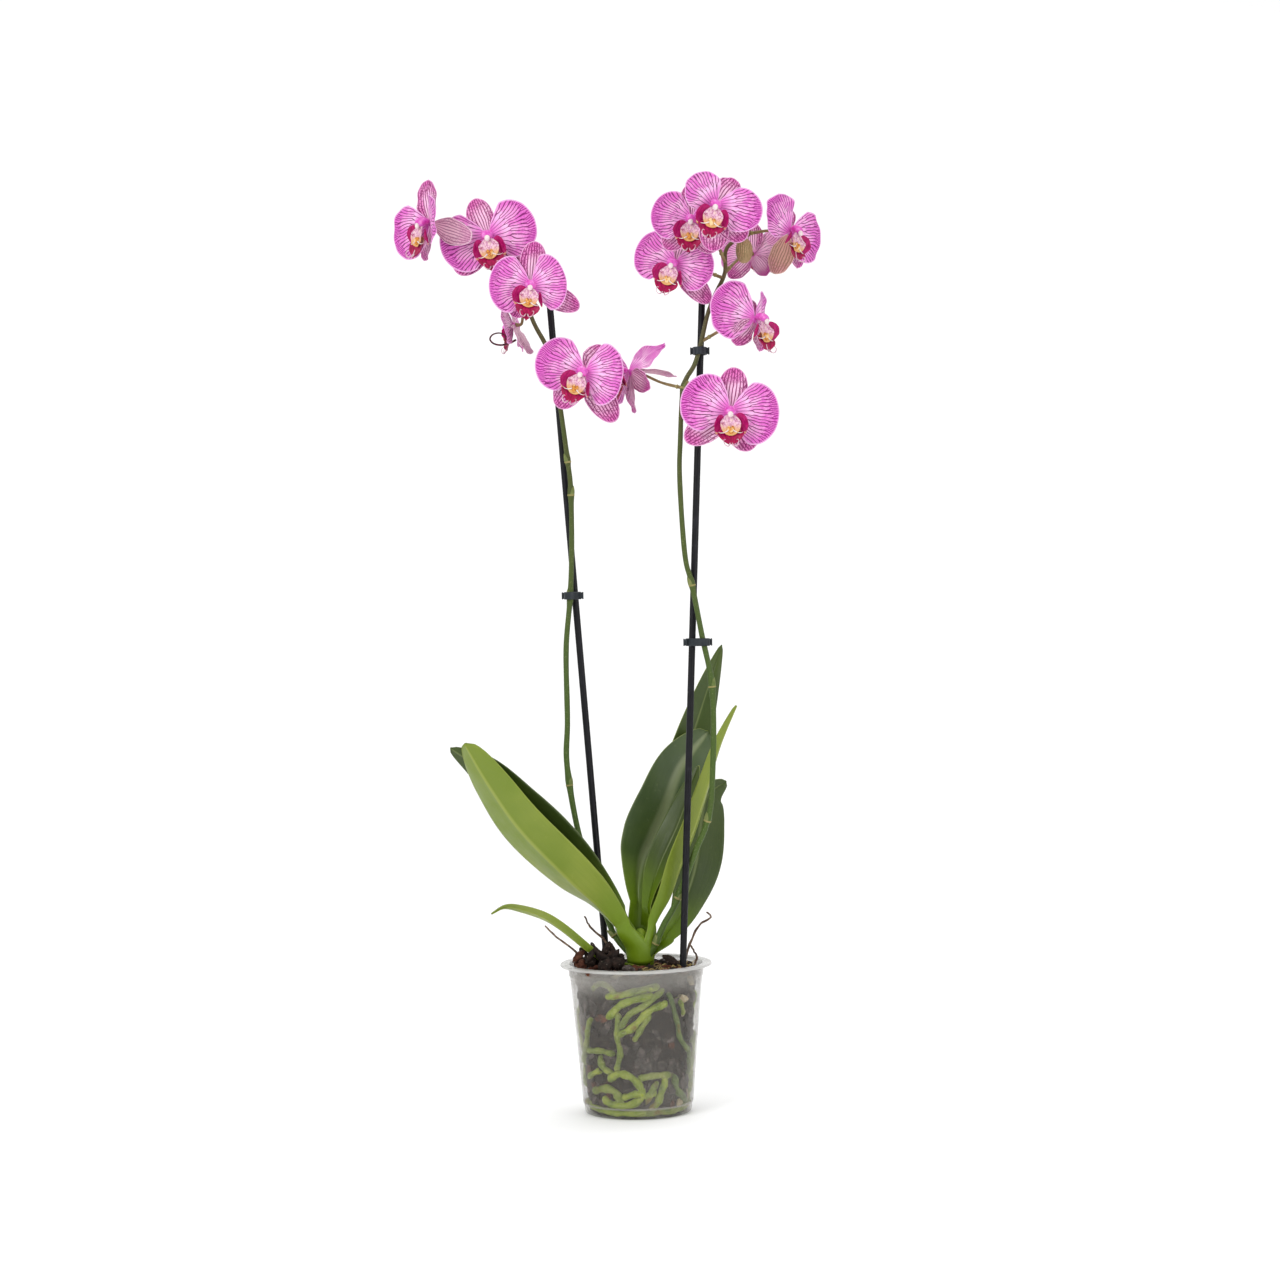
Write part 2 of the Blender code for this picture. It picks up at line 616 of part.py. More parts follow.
def tepal(columns, rows, length, width, angle, tilt, cup, bend, point=0.0, start=(0, 0, 0), twist=0):
    """A petal-like blade: a disc drawn out to a length and width, cupped across and bent back.

    angle is measured from straight up, tilt leans the tip forward and point narrows the tip.
    """
    turn = (Matrix.Translation(Vector(start)) @ Matrix.Rotation(math.radians(angle), 4, "Y")
            @ Matrix.Rotation(math.radians(tilt), 4, "X") @ Matrix.Rotation(math.radians(twist), 4, "Z"))

    def place(a, b):
        x = a * math.sqrt(1 - b * b / 2)
        y = b * math.sqrt(1 - a * a / 2)
        t = (y + 1) / 2
        claw = 0.5 + 0.5 * min(t / 0.4, 1) ** 0.8
        narrow = 1 - point * max(t - 0.45, 0) ** 1.5
        across = x * width / 2 * claw * narrow
        share = 2 * across / width
        return turn @ Vector((across, -cup * share * share + bend * t * t, length * t + TEPAL_START))

    return blade(columns, rows, place, TEPAL_THICKNESS, "tepal")


def lip_tube(spec, side):
    """One tube of a lip, mirrored when side is -1."""
    points, radii = spec
    return tube([Vector((x * side, y, z)) * MM for x, y, z in points], [r * MM for r in radii], 0)


def lip_blade(spec, side, rows, point):
    """One blade of a lip, mirrored when side is -1."""
    length, width, angle, tilt, cup, bend, start, twist = spec
    x, y, z = start
    return tepal(2, rows, length * MM, width * MM, angle * side, tilt, cup * MM, bend * MM,
                 point=point, start=Vector((x * side, y, z)) * MM, twist=twist * side)


def build_bloom(name):
    """Five tepals round a hub, and in front of it the lip with its column."""
    frame = bloom_matrix(name)
    pieces = [ball(Vector((0, 0.8, 0)) * MM, HUB_RADII, 6, 4)]
    angles = LATERAL_ANGLES.get(name, LATERALS)
    seats = LATERAL_SEATS.get(name, (SEPAL_SEAT, SEPAL_SEAT))
    tilts = PETAL_TILTS.get(name, PETAL_LEAN)
    for k, side in enumerate((-1, 1)):
        pieces.append(tepal(4, 3, PETAL_LENGTH, PETAL_WIDTH, PETAL_ANGLE * side, tilts[k],
                            PETAL_CUP, PETAL_BEND))
        lean, twist, start = seats[k]
        pieces.append(tepal(2, 3, SEPAL_LENGTH, SEPAL_WIDTH, angles[k], lean, SEPAL_CUP, SEPAL_BEND,
                            start=Vector(start) * MM, twist=twist))
    back, start = DORSAL_SEATS.get(name, DORSAL_SEAT)
    pieces.append(tepal(2, 3, SEPAL_LENGTH, SEPAL_WIDTH, 0, -back, SEPAL_CUP, SEPAL_BEND,
                        start=Vector(start) * MM))
    body = union_all(pieces)
    body.data.transform(frame)
    finish(body, "bloom_" + name, TEPAL_PINK)

    lip = [lip_tube(COLUMN, 1), lip_tube(LIP_FOOT, 1), lip_blade(MIDLOBE, 1, 3, 1.2)]
    for side in (-1, 1):
        lip.append(lip_blade(SIDE_LOBE, side, 2, 0))
        lip.append(lip_tube(TENDRIL, side))
    body = union_all(lip)
    scale = BLOOMS[name][4]
    body.data.transform(frame @ Matrix.Scale((scale + 1) / (2 * scale), 4))
    finish(body, "lip_" + name, LIP_CRIMSON)


def build_spikes():
    """Each flower spike: its stem, node rings, and the stalk of every bloom on it."""
    for spike, (spots, nodes) in SPIKES.items():
        path = smooth_path(mm(spots), SPIKE_POINTS)
        pieces = [tube(path, taper(STEM_RADIUS_LOW, STEM_RADIUS_TOP, SPIKE_POINTS), 1)]
        fine = smooth_path(mm(spots), FINE_POINTS)
        for share in nodes:
            k = int(share * (FINE_POINTS - 1))
            radius = STEM_RADIUS_LOW + (STEM_RADIUS_TOP - STEM_RADIUS_LOW) * share
            along = (fine[k + 1] - fine[k]).normalized()
            pieces.append(tube([fine[k] - along * NODE_REACH[0], fine[k] + along * NODE_REACH[1]],
                               [radius + step for step in NODE_STEP], 0))
        for name, (_, _, _, _, scale, owner, height) in BLOOMS.items():
            if owner != spike:
                continue
            frame = bloom_matrix(name)
            end = frame @ Vector((0, HUB_BACK + GAP / scale, 0))
            reach = frame @ Vector((0, STALK_BACK, 0))
            foot = stem_point(spike, height * MM)
            middle = foot.lerp(reach, 0.6) + Vector((0, 0, 2 * MM))
            via = mm(STALK_VIA[name]) if name in STALK_VIA else [middle]
            count = 5 + 3 * (len(via) - 1)
            stalk = smooth_path([foot] + via + [reach, end], count)
            pieces.append(tube(stalk, taper(PEDICEL_RADIUS, PEDICEL_RADIUS * 1.1, count), 0))
        if spike == "spike_right":
            pieces.append(tube(smooth_path(mm(BUD_STALK), 6), PEDICEL_RADIUS * 0.8, 0))
            pieces.append(ball(path[-1], TIP_BUD, 6, 5))
        stem = union_all(pieces)
        finish(crown_clear(stem), spike, STEM_GREEN)


def build_bud():
    """The closed bud that hangs from the right spike."""
    bud = ball(BUD_CENTRE, BUD_RADII, 8, 7)
    finish(bud, "bud_right", BUD_SKIN)


def build_clips():
    """Small oval clips with finger tabs, one at each place where a stem is held to its stake."""
    for name, (spike, stake, height) in CLIPS.items():
        stem = stem_point(spike, height * MM)
        rod = stake_point(stake, height * MM)
        centre = (stem + rod) / 2
        apart = (stem - rod).length
        turn = math.atan2(stem.y - rod.y, stem.x - rod.x)
        room = STAKE_RADIUS + CLIP_ROOM
        inner = (apart / 2 + room, room)
        outer = [r + CLIP_WALL for r in inner]
        rings = []
        for radii, tall in ((outer, CLIP_HEIGHT), (inner, CLIP_HEIGHT * 1.5)):
            bm = bmesh.new()
            bmesh.ops.create_cone(bm, cap_ends=True, segments=12, radius1=1, radius2=1, depth=1)
            spot = Matrix.Translation(centre) @ Matrix.Rotation(turn, 4, "Z") @ Matrix.Diagonal(
                (*radii, tall, 1))
            bmesh.ops.transform(bm, verts=bm.verts, matrix=spot)
            ring = bpy.data.objects.new("ring", mesh_from(bm, "ring"))
            CUTTERS.objects.link(ring)
            rings.append(ring)
        tabs = []
        for side in (-1, 1):
            bm = bmesh.new()
            bmesh.ops.create_cube(bm, size=1)
            reach = math.hypot(math.cos(turn) * outer[0], math.sin(turn) * outer[1])
            spot = centre + Vector((side * (reach + 1.0 * MM), 0, 0))
            size = Matrix.Diagonal((*CLIP_TAB, CLIP_HEIGHT, 1))
            bmesh.ops.transform(bm, verts=bm.verts, matrix=Matrix.Translation(spot) @ size)
            tab = bpy.data.objects.new("tab", mesh_from(bm, "tab"))
            CUTTERS.objects.link(tab)
            tabs.append(tab)
        body = union_all([rings[0]] + tabs)
        body = combine(body, [rings[1]], "DIFFERENCE", "MANIFOLD")
        finish(body, name, CLIP_PLASTIC)


def main():
    """Build every piece."""
    build_pot()
    build_roots_and_bark()
    build_stakes()
    build_leaves()
    build_spikes()
    build_bud()
    build_clips()
    for name in BLOOMS:
        build_bloom(name)


main()
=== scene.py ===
"""The look of the potted moth orchid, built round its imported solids.

Metres, +Z up. The origin is the centre of the pot's underside and the camera looks along +Y.
"""

import math
import random

import bpy
import numpy as np
from mathutils import Matrix, Vector


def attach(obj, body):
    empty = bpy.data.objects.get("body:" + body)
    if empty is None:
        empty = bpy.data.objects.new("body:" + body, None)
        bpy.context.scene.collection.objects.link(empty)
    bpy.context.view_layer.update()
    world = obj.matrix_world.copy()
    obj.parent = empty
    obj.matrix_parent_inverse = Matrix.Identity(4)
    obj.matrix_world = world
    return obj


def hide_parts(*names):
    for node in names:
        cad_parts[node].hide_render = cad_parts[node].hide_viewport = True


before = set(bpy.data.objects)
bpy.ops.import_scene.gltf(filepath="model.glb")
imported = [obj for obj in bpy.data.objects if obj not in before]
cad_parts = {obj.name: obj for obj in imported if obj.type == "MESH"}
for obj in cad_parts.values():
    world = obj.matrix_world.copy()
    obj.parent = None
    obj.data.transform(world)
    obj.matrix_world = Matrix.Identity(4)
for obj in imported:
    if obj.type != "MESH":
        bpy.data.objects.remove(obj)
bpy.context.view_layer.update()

MM = 0.001
BODY = "root"

# Camera, measured from the photograph, and the picture's side in pixels
PICTURE = 1280
FOCAL_PX = 3000
CAMERA_PLACE = (0, -2.37, 0.427)
CAMERA_DOWN_PX = 70
CAMERA_ROLL = math.radians(1.02)
CENTRE_SHIFT_PX = (9.8, 2.0)
SENSOR = 36

# Lights: place, the point they look at, side of the square and power. Then the world and the floor,
# which sweeps up behind and lies a little under the pot.
LIGHTS = {
    "key": ((-1.6, -1.9, 1.7), (0, 0, 0.45), 1.3, 34),
    "fill": ((1.9, -1.6, 1.0), (0, 0, 0.4), 1.6, 16),
    "top": ((0.2, 0.6, 2.2), (0, 0, 0.4), 1.6, 18),
}
WORLD_STRENGTH = 0.75
FLOOR_REACH = 6.0
FLOOR_BACK = 1.6
FLOOR_SWEEP = 0.9
FLOOR_TOP = 5.0
FLOOR_DROP = 0.5 * MM

# Share of a screen colour that a surface gets, because the studio lights it by more than one. Blooms
# are thin and glow a little more than leaves or plastic.
COLOUR_GAIN = 0.8
BLOOM_GAIN = 0.96
SOFT_GLOSS = 0.22

# How deep red, green and blue light goes into a tepal, in metres
FLESH_DEPTHS = (0.004, 0.002, 0.003)

# Pot. Turned profiles stop at a tiny hole round the axis.
POT_HEIGHT = 118 * MM
POT_WALL = 1.0 * MM
POT_FLOOR = 1.2 * MM
FOOT_RADIUS = 41.5 * MM
STEP_RADIUS = 43.7 * MM
STEP_HEIGHT = 8 * MM
NECK_RADIUS = 52.3 * MM
NECK_HEIGHT = 107 * MM
FLANGE_RADIUS = 60 * MM
FLANGE_THICKNESS = 2.0 * MM
POT_EDGE = 0.8 * MM
POT_SIDES = 120
AXIS_HOLE = 0.02 * MM
DRAIN_COUNT = 6
DRAIN_RADIUS = 3.5 * MM
DRAIN_CIRCLE = 27 * MM

# Bark mix: its height, how many chips show through the wall and lie on top, and the strands of straw
BARK_TOP = 115 * MM
CORE_SIDES = 64
CORE_STEP = 4 * MM
WALL_CHIPS = 520
TOP_FLAKES = 330
STRAWS = 70
MOUND_HEIGHT = 5 * MM
MOUND_SPAN = 40 * MM
MOUND_FRONT = -25 * MM

# Length, breadth and thickness of a chip and of a flake from least to most, in mm, and how often each
# of the four tones comes
CHIP_SIZES = ((7, 15), (5, 10), (2.5, 4.5))
CHIP_TONES = (6, 8, 1.1, 0.25)
FLAKE_SIZES = ((6, 15), (4, 10), (2, 5))
FLAKE_TONES = (7, 1.5, 4, 0.5)

# Rows of a flake of bark, from its underside up: share of its outline and of half its thickness
FLAKE_ROWS = [(0.25, -0.8), (0.75, -1.0), (1.0, -0.4), (1.0, 0.4), (0.8, 0.8), (0.3, 1.0)]
FLAKE_SIDES = 14

# Chips that the photograph shows at the front: centre and size in mm, material, tip in radians
FEATURE_CHIPS = [
    ((-33, -36, 114.5), (19, 9, 4), 2, 0.15), ((-13, -43, 113.5), (12, 6, 3), 3, -0.2),
    ((-24, -30, 120), (13, 11, 7), 0, -0.3), ((-37, -20, 122), (12, 10, 7), 0, 0.4),
    ((-14, -28, 121), (12, 9, 7), 0, 0.2), ((-44, -14, 119), (10, 9, 6), 2, 0.3),
    ((-30, -12, 124), (11, 9, 6), 0, 0.1), ((-6, -34, 117), (10, 7, 5), 1, 0.3),
    ((24, -36, 114), (13, 8, 4), 0, -0.1), ((36, -28, 114), (11, 8, 5), 2, 0.2),
    ((-20, -16, 125), (14, 8, 5), 0, -0.7), ((-28, -22, 126), (12, 6, 4), 0, 0.9),
    ((-42, -24, 121), (9, 7, 4), 2, 1.1), ((-12, -20, 124), (9, 6, 5), 0, 1.2),
    ((-16, -24, 127), (10, 5, 3), 0, -1.0), ((-35, -8, 125), (13, 7, 5), 0, -0.5),
    ((-31, -18, 129), (15, 7, 3.5), 0, 1.1), ((-24, -14, 130), (13, 7, 3.5), 0, -1.0),
    ((-40, -16, 128), (13, 6, 3), 0, 0.9), ((-18, -12, 129), (14, 6, 3.5), 0, 1.2),
    ((-36, -25, 126), (14, 6, 3), 0, -1.0), ((28, -8, 120), (15, 9, 4), 0, 0.5),
    ((-45, -18, 126), (14, 8, 4), 2, -0.8), ((-27, -25, 128), (15, 6, 3), 0, 0.7),
]

# Crown and roots
CROWN_CENTRE = Vector((4, 0, 128)) * MM
CROWN_RADII = (8.4 * MM, 7.8 * MM, 17 * MM)
CROWN_ROOM = 10 * MM
DRY_ROOT_RADIUS = 1.0 * MM

# Stakes, clips and spikes
STAKE_RADIUS = 2.7 * MM
CLIP_HEIGHT = 6 * MM
CLIP_WALL = 1.2 * MM
CLIP_EDGE = 0.4 * MM
CLIP_ROOM = 1.8 * MM
STEM_RADIUS_LOW = 2.6 * MM
STEM_RADIUS_TOP = 1.5 * MM
PEDICEL_RADIUS = 1.25 * MM

# Tepals at scale 1, in mm: length, width, cup across and bend back
PETAL = (41, 49, 2, 3)
SEPAL = (39, 27, 2, 2)
PETAL_ANGLE = 80
TEPAL_START = 0.8 * MM
TEPAL_THICKNESS = 0.7 * MM

# Leaves
LEAF_THICKNESS = 1.8 * MM
LEAF_WIDEST = 0.55

# Length of surface that one unit of the surface coordinates covers
UV_SPAN = 50 * MM

# Fat roots at the pot's wall: radius in mm, tone (0 bright, 1 dull, 2 dark), then
# (degrees round from the front, + to the right, height in mm)
WALL_ROOTS = [
    (2.3, 1, [(-44, 103), (-36, 107), (-27, 105), (-22, 100)]),
    (2.8, 0, [(-27, 97), (-12, 99), (3, 102), (18, 104)]),
    (3.0, 0, [(-27, 82), (-16, 90), (-2, 95), (12, 97)]),
    (2.5, 1, [(-15, 75), (-7, 83), (5, 89), (17, 96), (24, 100)]),
    (2.9, 0, [(-16, 68), (-6, 72), (5, 80), (15, 87), (27, 90)]),
    (2.2, 1, [(-1, 65), (4, 72), (11, 80)]),
    (2.0, 2, [(33, 96), (38, 85), (44, 73), (48, 62), (62, 52)]),
    (1.8, 1, [(46, 90), (51, 82)]),
    (1.8, 2, [(64, 52), (69, 44), (69, 34)]),
    (2.2, 1, [(-54, 76), (-59, 68), (-62, 60), (-72, 50), (-75, 42)]),
    (2.3, 1, [(-59, 52), (-42, 53), (-29, 52)]),
    (2.3, 1, [(-19, 80), (-20, 64), (-18, 52), (-22, 41)]),
    (2.5, 1, [(-43, 46), (-39, 40), (-31, 37)]),
    (2.3, 0, [(-65, 31), (-49, 36)]),
    (3.0, 0, [(-31, 32), (-20, 36), (-9, 34), (0, 28), (4, 22), (1, 15), (-12, 11), (-29, 11), (-40, 14)]),
    (3.0, 1, [(-55, 21), (-39, 23), (-26, 21), (-21, 15)]),
    (2.6, 0, [(-14, 18), (-2, 20), (9, 18), (16, 20)]),
    (2.6, 1, [(6, 33), (20, 34), (33, 34)]),
    (3.0, 0, [(30, 31), (28, 22), (23, 14), (17, 9), (15, 6)]),
    (2.4, 1, [(11, 15), (15, 23), (20, 27)]),
    (2.6, 2, [(43, 30), (50, 20), (66, 11)]),
    (2.6, 0, [(-70, 7), (-40, 5), (-12, 4.5), (14, 4.5)]),
    (2.6, 1, [(12, 5), (34, 4.5), (62, 5), (84, 8)]),
    (2.9, 0, [(100, 90), (112, 70), (108, 45), (130, 22)]),
    (2.9, 1, [(162, 90), (170, 70), (158, 45), (172, 24)]),
    (2.9, 0, [(-122, 88), (-128, 60), (-140, 34), (-165, 16)]),
    (2.6, 1, [(140, 98), (150, 84), (136, 60), (120, 50)]),
    (2.6, 0, [(-150, 100), (-160, 84), (-176, 66), (-170, 40)]),
    (2.4, 1, [(-100, 80), (-96, 60), (-106, 40), (-92, 24)]),
    (2.6, 1, [(88, 60), (94, 42), (84, 26), (100, 12)]),
    (2.8, 0, [(-90, 8), (-130, 5), (-170, 5), (150, 6)]),
]
ROOT_SET_BACK = 0.6 * MM
ROOT_DIP = 4.5 * MM

# Thin dry roots above the bark, in mm
DRY_ROOTS = [
    [(0, -2, 112), (-26, -9, 113), (-40, -11, 122), (-49, -12, 130), (-65, -12, 143), (-72, -12, 151)],
    [(0, 2, 112), (-14, 5, 114), (-24, 6, 134), (-33, 6, 143), (-37, 6, 148), (-41, 6, 156)],
    [(6, 2, 112), (34, 5, 112), (44, 6, 133), (51, 6, 146), (60, 6, 152), (56, 6, 157)],
    [(6, 0, 110), (40, 2, 110), (48, 3, 119), (46, 3, 126), (42, 3, 133)],
]

# Stakes: foot and top, in mm
STAKES = {
    "stake_left": ((-18, 23, 38), (-60, 15.6, 655)),
    "stake_right": ((33.3, -19.2, 38), (61.3, -10, 645)),
}

# Leaves: midline in mm from the crown outwards, full width, direction across the blade, fold
LEAVES = {
    "leaf_a": ([(0, -7, 130), (-27, -16, 163), (-51, -25, 187), (-87, -39, 227), (-110, -48, 262),
                (-129, -58, 297)], 56, (0.45, -0.75, 0.5), 0.16),
    "leaf_b": ([(-4, 1, 140), (-24, -4, 170), (-46, -10, 196), (-66, -16, 216), (-90, -25, 243),
                (-116, -34, 274), (-141, -42, 293)], 50, (0.55, -0.6, 0.55), 0.12),
    "leaf_c": ([(4, 7, 147), (2, 16, 175), (6, 26, 197), (14, 33, 213), (26, 43, 238), (39, 55, 269),
                (62, 69, 296)], 54, (0.85, 0.2, -0.45), 0.12),
    "leaf_d": ([(5, 7, 128), (7, 22, 148), (10, 38, 180), (20, 54, 215), (36, 68, 255),
                (52, 78, 300), (64, 84, 335), (75, 87.8, 366)], 34, (0.9, 0.2, -0.3), 0.2),
    "leaf_e": ([(9, -4, 136), (18, -3, 154), (28, -1, 171), (37, 0, 197), (47, 0, 222), (58, 0, 255),
                (69, 0, 289), (83, 0, 320)], 28, (0.45, 0.85, -0.2), 0.3),
    "leaf_f": ([(13, 4, 128), (32, 14, 148), (43, 23, 172), (50, 29, 196), (54, 32, 225), (60, 34, 247),
                (75, 34, 258)], 42, (0.85, 0.4, -0.25), 0.15),
    "leaf_g": ([(7, 3, 146), (14, 6, 176), (22, 9, 197), (35, 12, 224), (45, 13, 250), (53, 14, 272)],
               26, (0.75, -0.5, -0.3), 0.25),
    "leaf_h": ([(-5, -6, 121), (-23, -14, 121), (-36, -18, 129), (-57, -26, 148), (-72, -30, 159),
                (-89, -34, 166), (-101, -37, 168), (-112, -40, 163)], 14, (0.2, -0.8, 0.5), 0.1),
}
TURNED_LEAVES = ("leaf_a", "leaf_b", "leaf_h", "leaf_e")
LEAF_POINTS = {"leaf_a": 0.1, "leaf_b": 0.5, "leaf_d": 0.62, "leaf_e": 0.6, "leaf_f": 0.35, "leaf_g": 0.5,
               "leaf_h": 0.5, "leaf_c": 0.15}
PLAIN_LEAF = ("leaf_upper", "leaf_underside")
LEAF_LOOKS = {"leaf_b": ("leaf_upper", "leaf_upper"), "leaf_c": ("leaf_broad", "leaf_underside")}
SHEATHS = {"leaf_a": (10.2 * MM, 2.5), "leaf_e": (9.4 * MM, 1.5)}
PLAIN_SHEATH = (9.0 * MM, 1.15)
SHEATH_DROP = 12 * MM
SHEATH_LOWEST = 112 * MM
SHEATH_JOIN = 7
SHEATH_ROWS = 12

# Spikes: stem path in mm, places of the nodes along it from 0 to 1
SPIKES = {
    "spike_right": ([(9, -5, 121), (16, -7, 134), (23, -8, 149), (33, -9.5, 167), (49, -14, 208),
                     (57, -17, 227), (62, -19, 253), (64, -20, 329), (56, -20, 378), (49, -20, 417),
                     (44, -20, 440), (41, -20, 498), (42, -20, 529), (45, -20, 570), (54, -18, 588),
                     (59, -17.5, 603), (65, -19, 627), (71, -19, 642), (79, -18, 659), (80, -16, 676),
                     (86, -14, 684), (98, -13, 691)],
                    (0.05, 0.15, 0.25, 0.34, 0.43, 0.62)),
    "spike_left": ([(-4, 6, 123), (-15, 10, 136), (-20, 12, 146), (-32, 14, 182), (-44, 14, 221),
                    (-52, 14, 274), (-51, 14, 310), (-51, 13, 366), (-47, 13, 409), (-45, 12, 450),
                    (-45, 11, 494), (-47, 11, 516), (-52, 10.5, 558), (-56, 10, 584), (-62, 8, 606),
                    (-72, 8, 626), (-82, 9, 655), (-94, 8, 679), (-121, 4, 695), (-140, 0, 702)],
                   (0.07, 0.25, 0.42, 0.52, 0.58)),
}
STALK_BACK = 9 * MM
HUB_BACK = 3 * MM

# Clips: spike, stake and height in mm
CLIPS = {
    "clip_left": ("spike_left", "stake_left", 409),
    "clip_right_lower": ("spike_right", "stake_right", 371),
    "clip_right_upper": ("spike_right", "stake_right", 599),
}

# Blooms: centre in mm, yaw (+ faces right), pitch (+ faces up), roll (+ clockwise), scale,
# the spike it grows on and the height in mm at which its stalk leaves the stem
BLOOMS = {
    "l1": ((-150.5, -20, 702), -54, 0, 4, 0.90, "spike_left", 702),
    "l2": ((-105, -20, 691), -5, 0, -10, 0.93, "spike_left", 694),
    "l3": ((-72, -40, 650), 0, 0, 8, 0.78, "spike_left", 662),
    "l4": ((-88, 14, 624), -100, -12, 0, 0.75, "spike_left", 645),
    "l5": ((-32, -28, 583), -12, 0, 22, 0.86, "spike_left", 572),
    "r1": ((71, -76, 705), 0, 0, 14, 0.87, "spike_right", 690),
    "r2": ((53, -52, 697), -4, 0, 5, 0.76, "spike_right", 668),
    "r3": ((40, -30, 666), -15, 0, 15, 0.80, "spike_right", 655),
    "r4": ((102, -28, 622), 48, 0, 6, 0.90, "spike_right", 606),
    "r5": ((80, -56, 549), 0, 0, 0, 0.91, "spike_right", 575),
    "r6": ((131, -14, 691), 46, 0, 22, 0.84, "spike_right", 690),
    "r7": ((103, 17, 677), 155, -10, 0, 0.7, "spike_right", 660),
    "r8": ((3, 8, 585), -70, 0, -22, 0.86, "spike_right", 570),
}

# The common form of a bloom: directions of its lower sepals and lean of its petals in degrees. A seat
# is a sepal's forward lean and twist in degrees and its start in mm.
LATERALS = (-138, 138)
PETAL_LEAN = (7, 7)
SEPAL_SEAT = (-8, 0, (0, 1.4, 0))
DORSAL_SEAT = (-5, 0, (0, 1.4, 0))

# The blooms that depart from it, and points in mm that a stalk passes
DORSAL_SEATS = {"r1": (-40, 0, (0, 1.4, 0)), "l5": (-40, 0, (0, 1.4, 0)), "r4": (-38, 0, (0, 1.4, 0)),
                "r6": (-40, 0, (0, 1.4, 0)), "r8": (-80, 0, (0, -0.6, 2.4))}
LATERAL_ANGLES = {"r1": (-190, 125), "r6": (-197, 118)}
LATERAL_SEATS = {"r6": ((-24, -100, (0, 0.8, -1.8)), SEPAL_SEAT)}
PETAL_TILTS = {"r1": (20, 7), "r4": (-22, -22), "r8": (7, -27)}
STALK_VIA = {"r1": [(99, -38, 700), (94, -62, 708)], "r2": [(68, -36, 690)], "r8": [(28, 0, 576)]}

# What each tepal adds to its bloom's common form, as the photograph shows it: degrees of turn round the
# bloom and of forward lean, then factors of length and width
PLAIN = (0, 0, 1, 1)
TUNES = {
    "l1": {"left": (-34, 16, 1, 1.02), "right": (0, 22, 0.95, 0.9), "dorsal": (-10, 10, 0.96, 1.2),
           "low_right": (-28, -18, 1.05, 0.85)},
    "l2": {"dorsal": (-12, 0, 0.88, 0.85), "left": (-16, 0, 1, 1), "low_left": (13, 0, 1.05, 1),
           "right": (4, 0, 1, 1)},
    "l3": {"dorsal": (-2, 0, 1.15, 1), "left": (-14, 0, 1, 1.15), "right": (-8, 0, 0.85, 1.15),
           "low_right": (-31, 0, 1.35, 0.9), "low_left": (-18, 0, 0.9, 0.9)},
    "l5": {"left": (-12, 0, 1.12, 1), "right": (-4, 0, 0.87, 1.15), "dorsal": (12, 0, 1, 1),
           "low_left": (-20, 0, 1.05, 1), "low_right": (-10, 0, 1.32, 1)},
    "r1": {"left": (24, 10, 0.85, 0.72), "right": (8, 0, 1, 0.8), "dorsal": (24, 6, 1, 0.95)},
    "r3": {"low_right": (-13, 0, 1.28, 0.85), "low_left": (-20, 0, 0.75, 0.9), "right": (4, 0, 0.95, 1)},
    "r4": {"low_left": (0, 0, 0.78, 0.8), "low_right": (0, 0, 0.8, 0.8), "left": (5, 0, 1.05, 1.1)},
    "r5": {"dorsal": (8, 0, 0.97, 0.95), "left": (11, 0, 1.04, 1.02), "right": (16, 0, 1, 1.08),
           "low_left": (16, 0, 1.15, 0.95), "low_right": (12, 0, 0.95, 1)},
    "r6": {"dorsal": (0, 14, 1.2, 0.9), "left": (7, 0, 1, 0.95), "right": (0, 0, 0.98, 1)},
    "r7": {"low_left": (0, 0, 0.9, 0.8), "low_right": (0, 0, 0.95, 0.85), "dorsal": (0, 0, 0.9, 0.9)},
    "r8": {"right": (-36, -18, 1.02, 0.8), "low_right": (0, 0, 0.9, 0.8), "dorsal": (0, -16, 1.2, 0.35)},
}

# Tepals whose back shows their front colours, how much a petal narrows to its tip, and the bloom
# whose sepals have tan backs
TURNED_TEPALS = {("l1", "low_right"), ("r7", "low_left"), ("r7", "low_right"), ("r7", "dorsal"),
                 ("r8", "right")}
POINTED = {("r8", "right"): 1.9, ("r6", "left"): 0.5}
TAN_BLOOM = "r6"
SMALL_LIPS = {"r7": 0.5, "l4": 0.8}

# Length and pointedness of the midlobe where the photograph shows it drawn out
MIDLOBES = {"l1": (1.15, 2.0), "l2": (1.22, 2.3), "l3": (1.3, 2.3), "r2": (1.15, 1.4), "r1": (1.1, 1.6)}

# Breadth of each lip's left and right side lobe, which the photograph shows flat on or edge on
LOBES = {"l1": (1.15, 0.3), "l2": (0.8, 0.85), "l3": (1.25, 0.3), "l5": (1.25, 0.3), "r1": (1.05, 0.75),
         "r2": (1.25, 0.35), "r3": (1.25, 0.4), "r4": (0.3, 1.4), "r5": (0.75, 1.1), "r6": (0.3, 1.3)}

# The column and lip at scale 1, in mm. The tendril and the streak come twice, mirrored.
COLUMN = [(0, -1.8, 1.2), (0, -5, 1.8), (0, -8.8, 0.8), (0, -12.2, -1.6)]
TENDRIL = [(0.8, -15, -26), (2.2, -18, -28.4), (4.6, -19, -27.6), (6, -18.8, -25), (5.6, -17.8, -23),
           (4.4, -17.2, -23.2)]
STREAK = [(2, -12.8, -15.5), (5, -13, -17.2), (8, -12.6, -17.6), (10, -11.6, -16.8)]

# Balls of a bloom and its lip: centre and radii in mm, and place in the piece's list of looks
HUB_BALL = ((0, 0.8, 0), (3.2, 2.2, 3.2), 4)
CAP_BALL = ((0, -12.4, -2.6), (2.3, 1.7, 2.6), 3)
SIDE_BALL = ((1.5, -12.4, -14), (1.4, 1.5, 2.2), 1)
CALLUS_BALL = ((0, -12.8, -16), (1.9, 1.5, 2.4), 1)

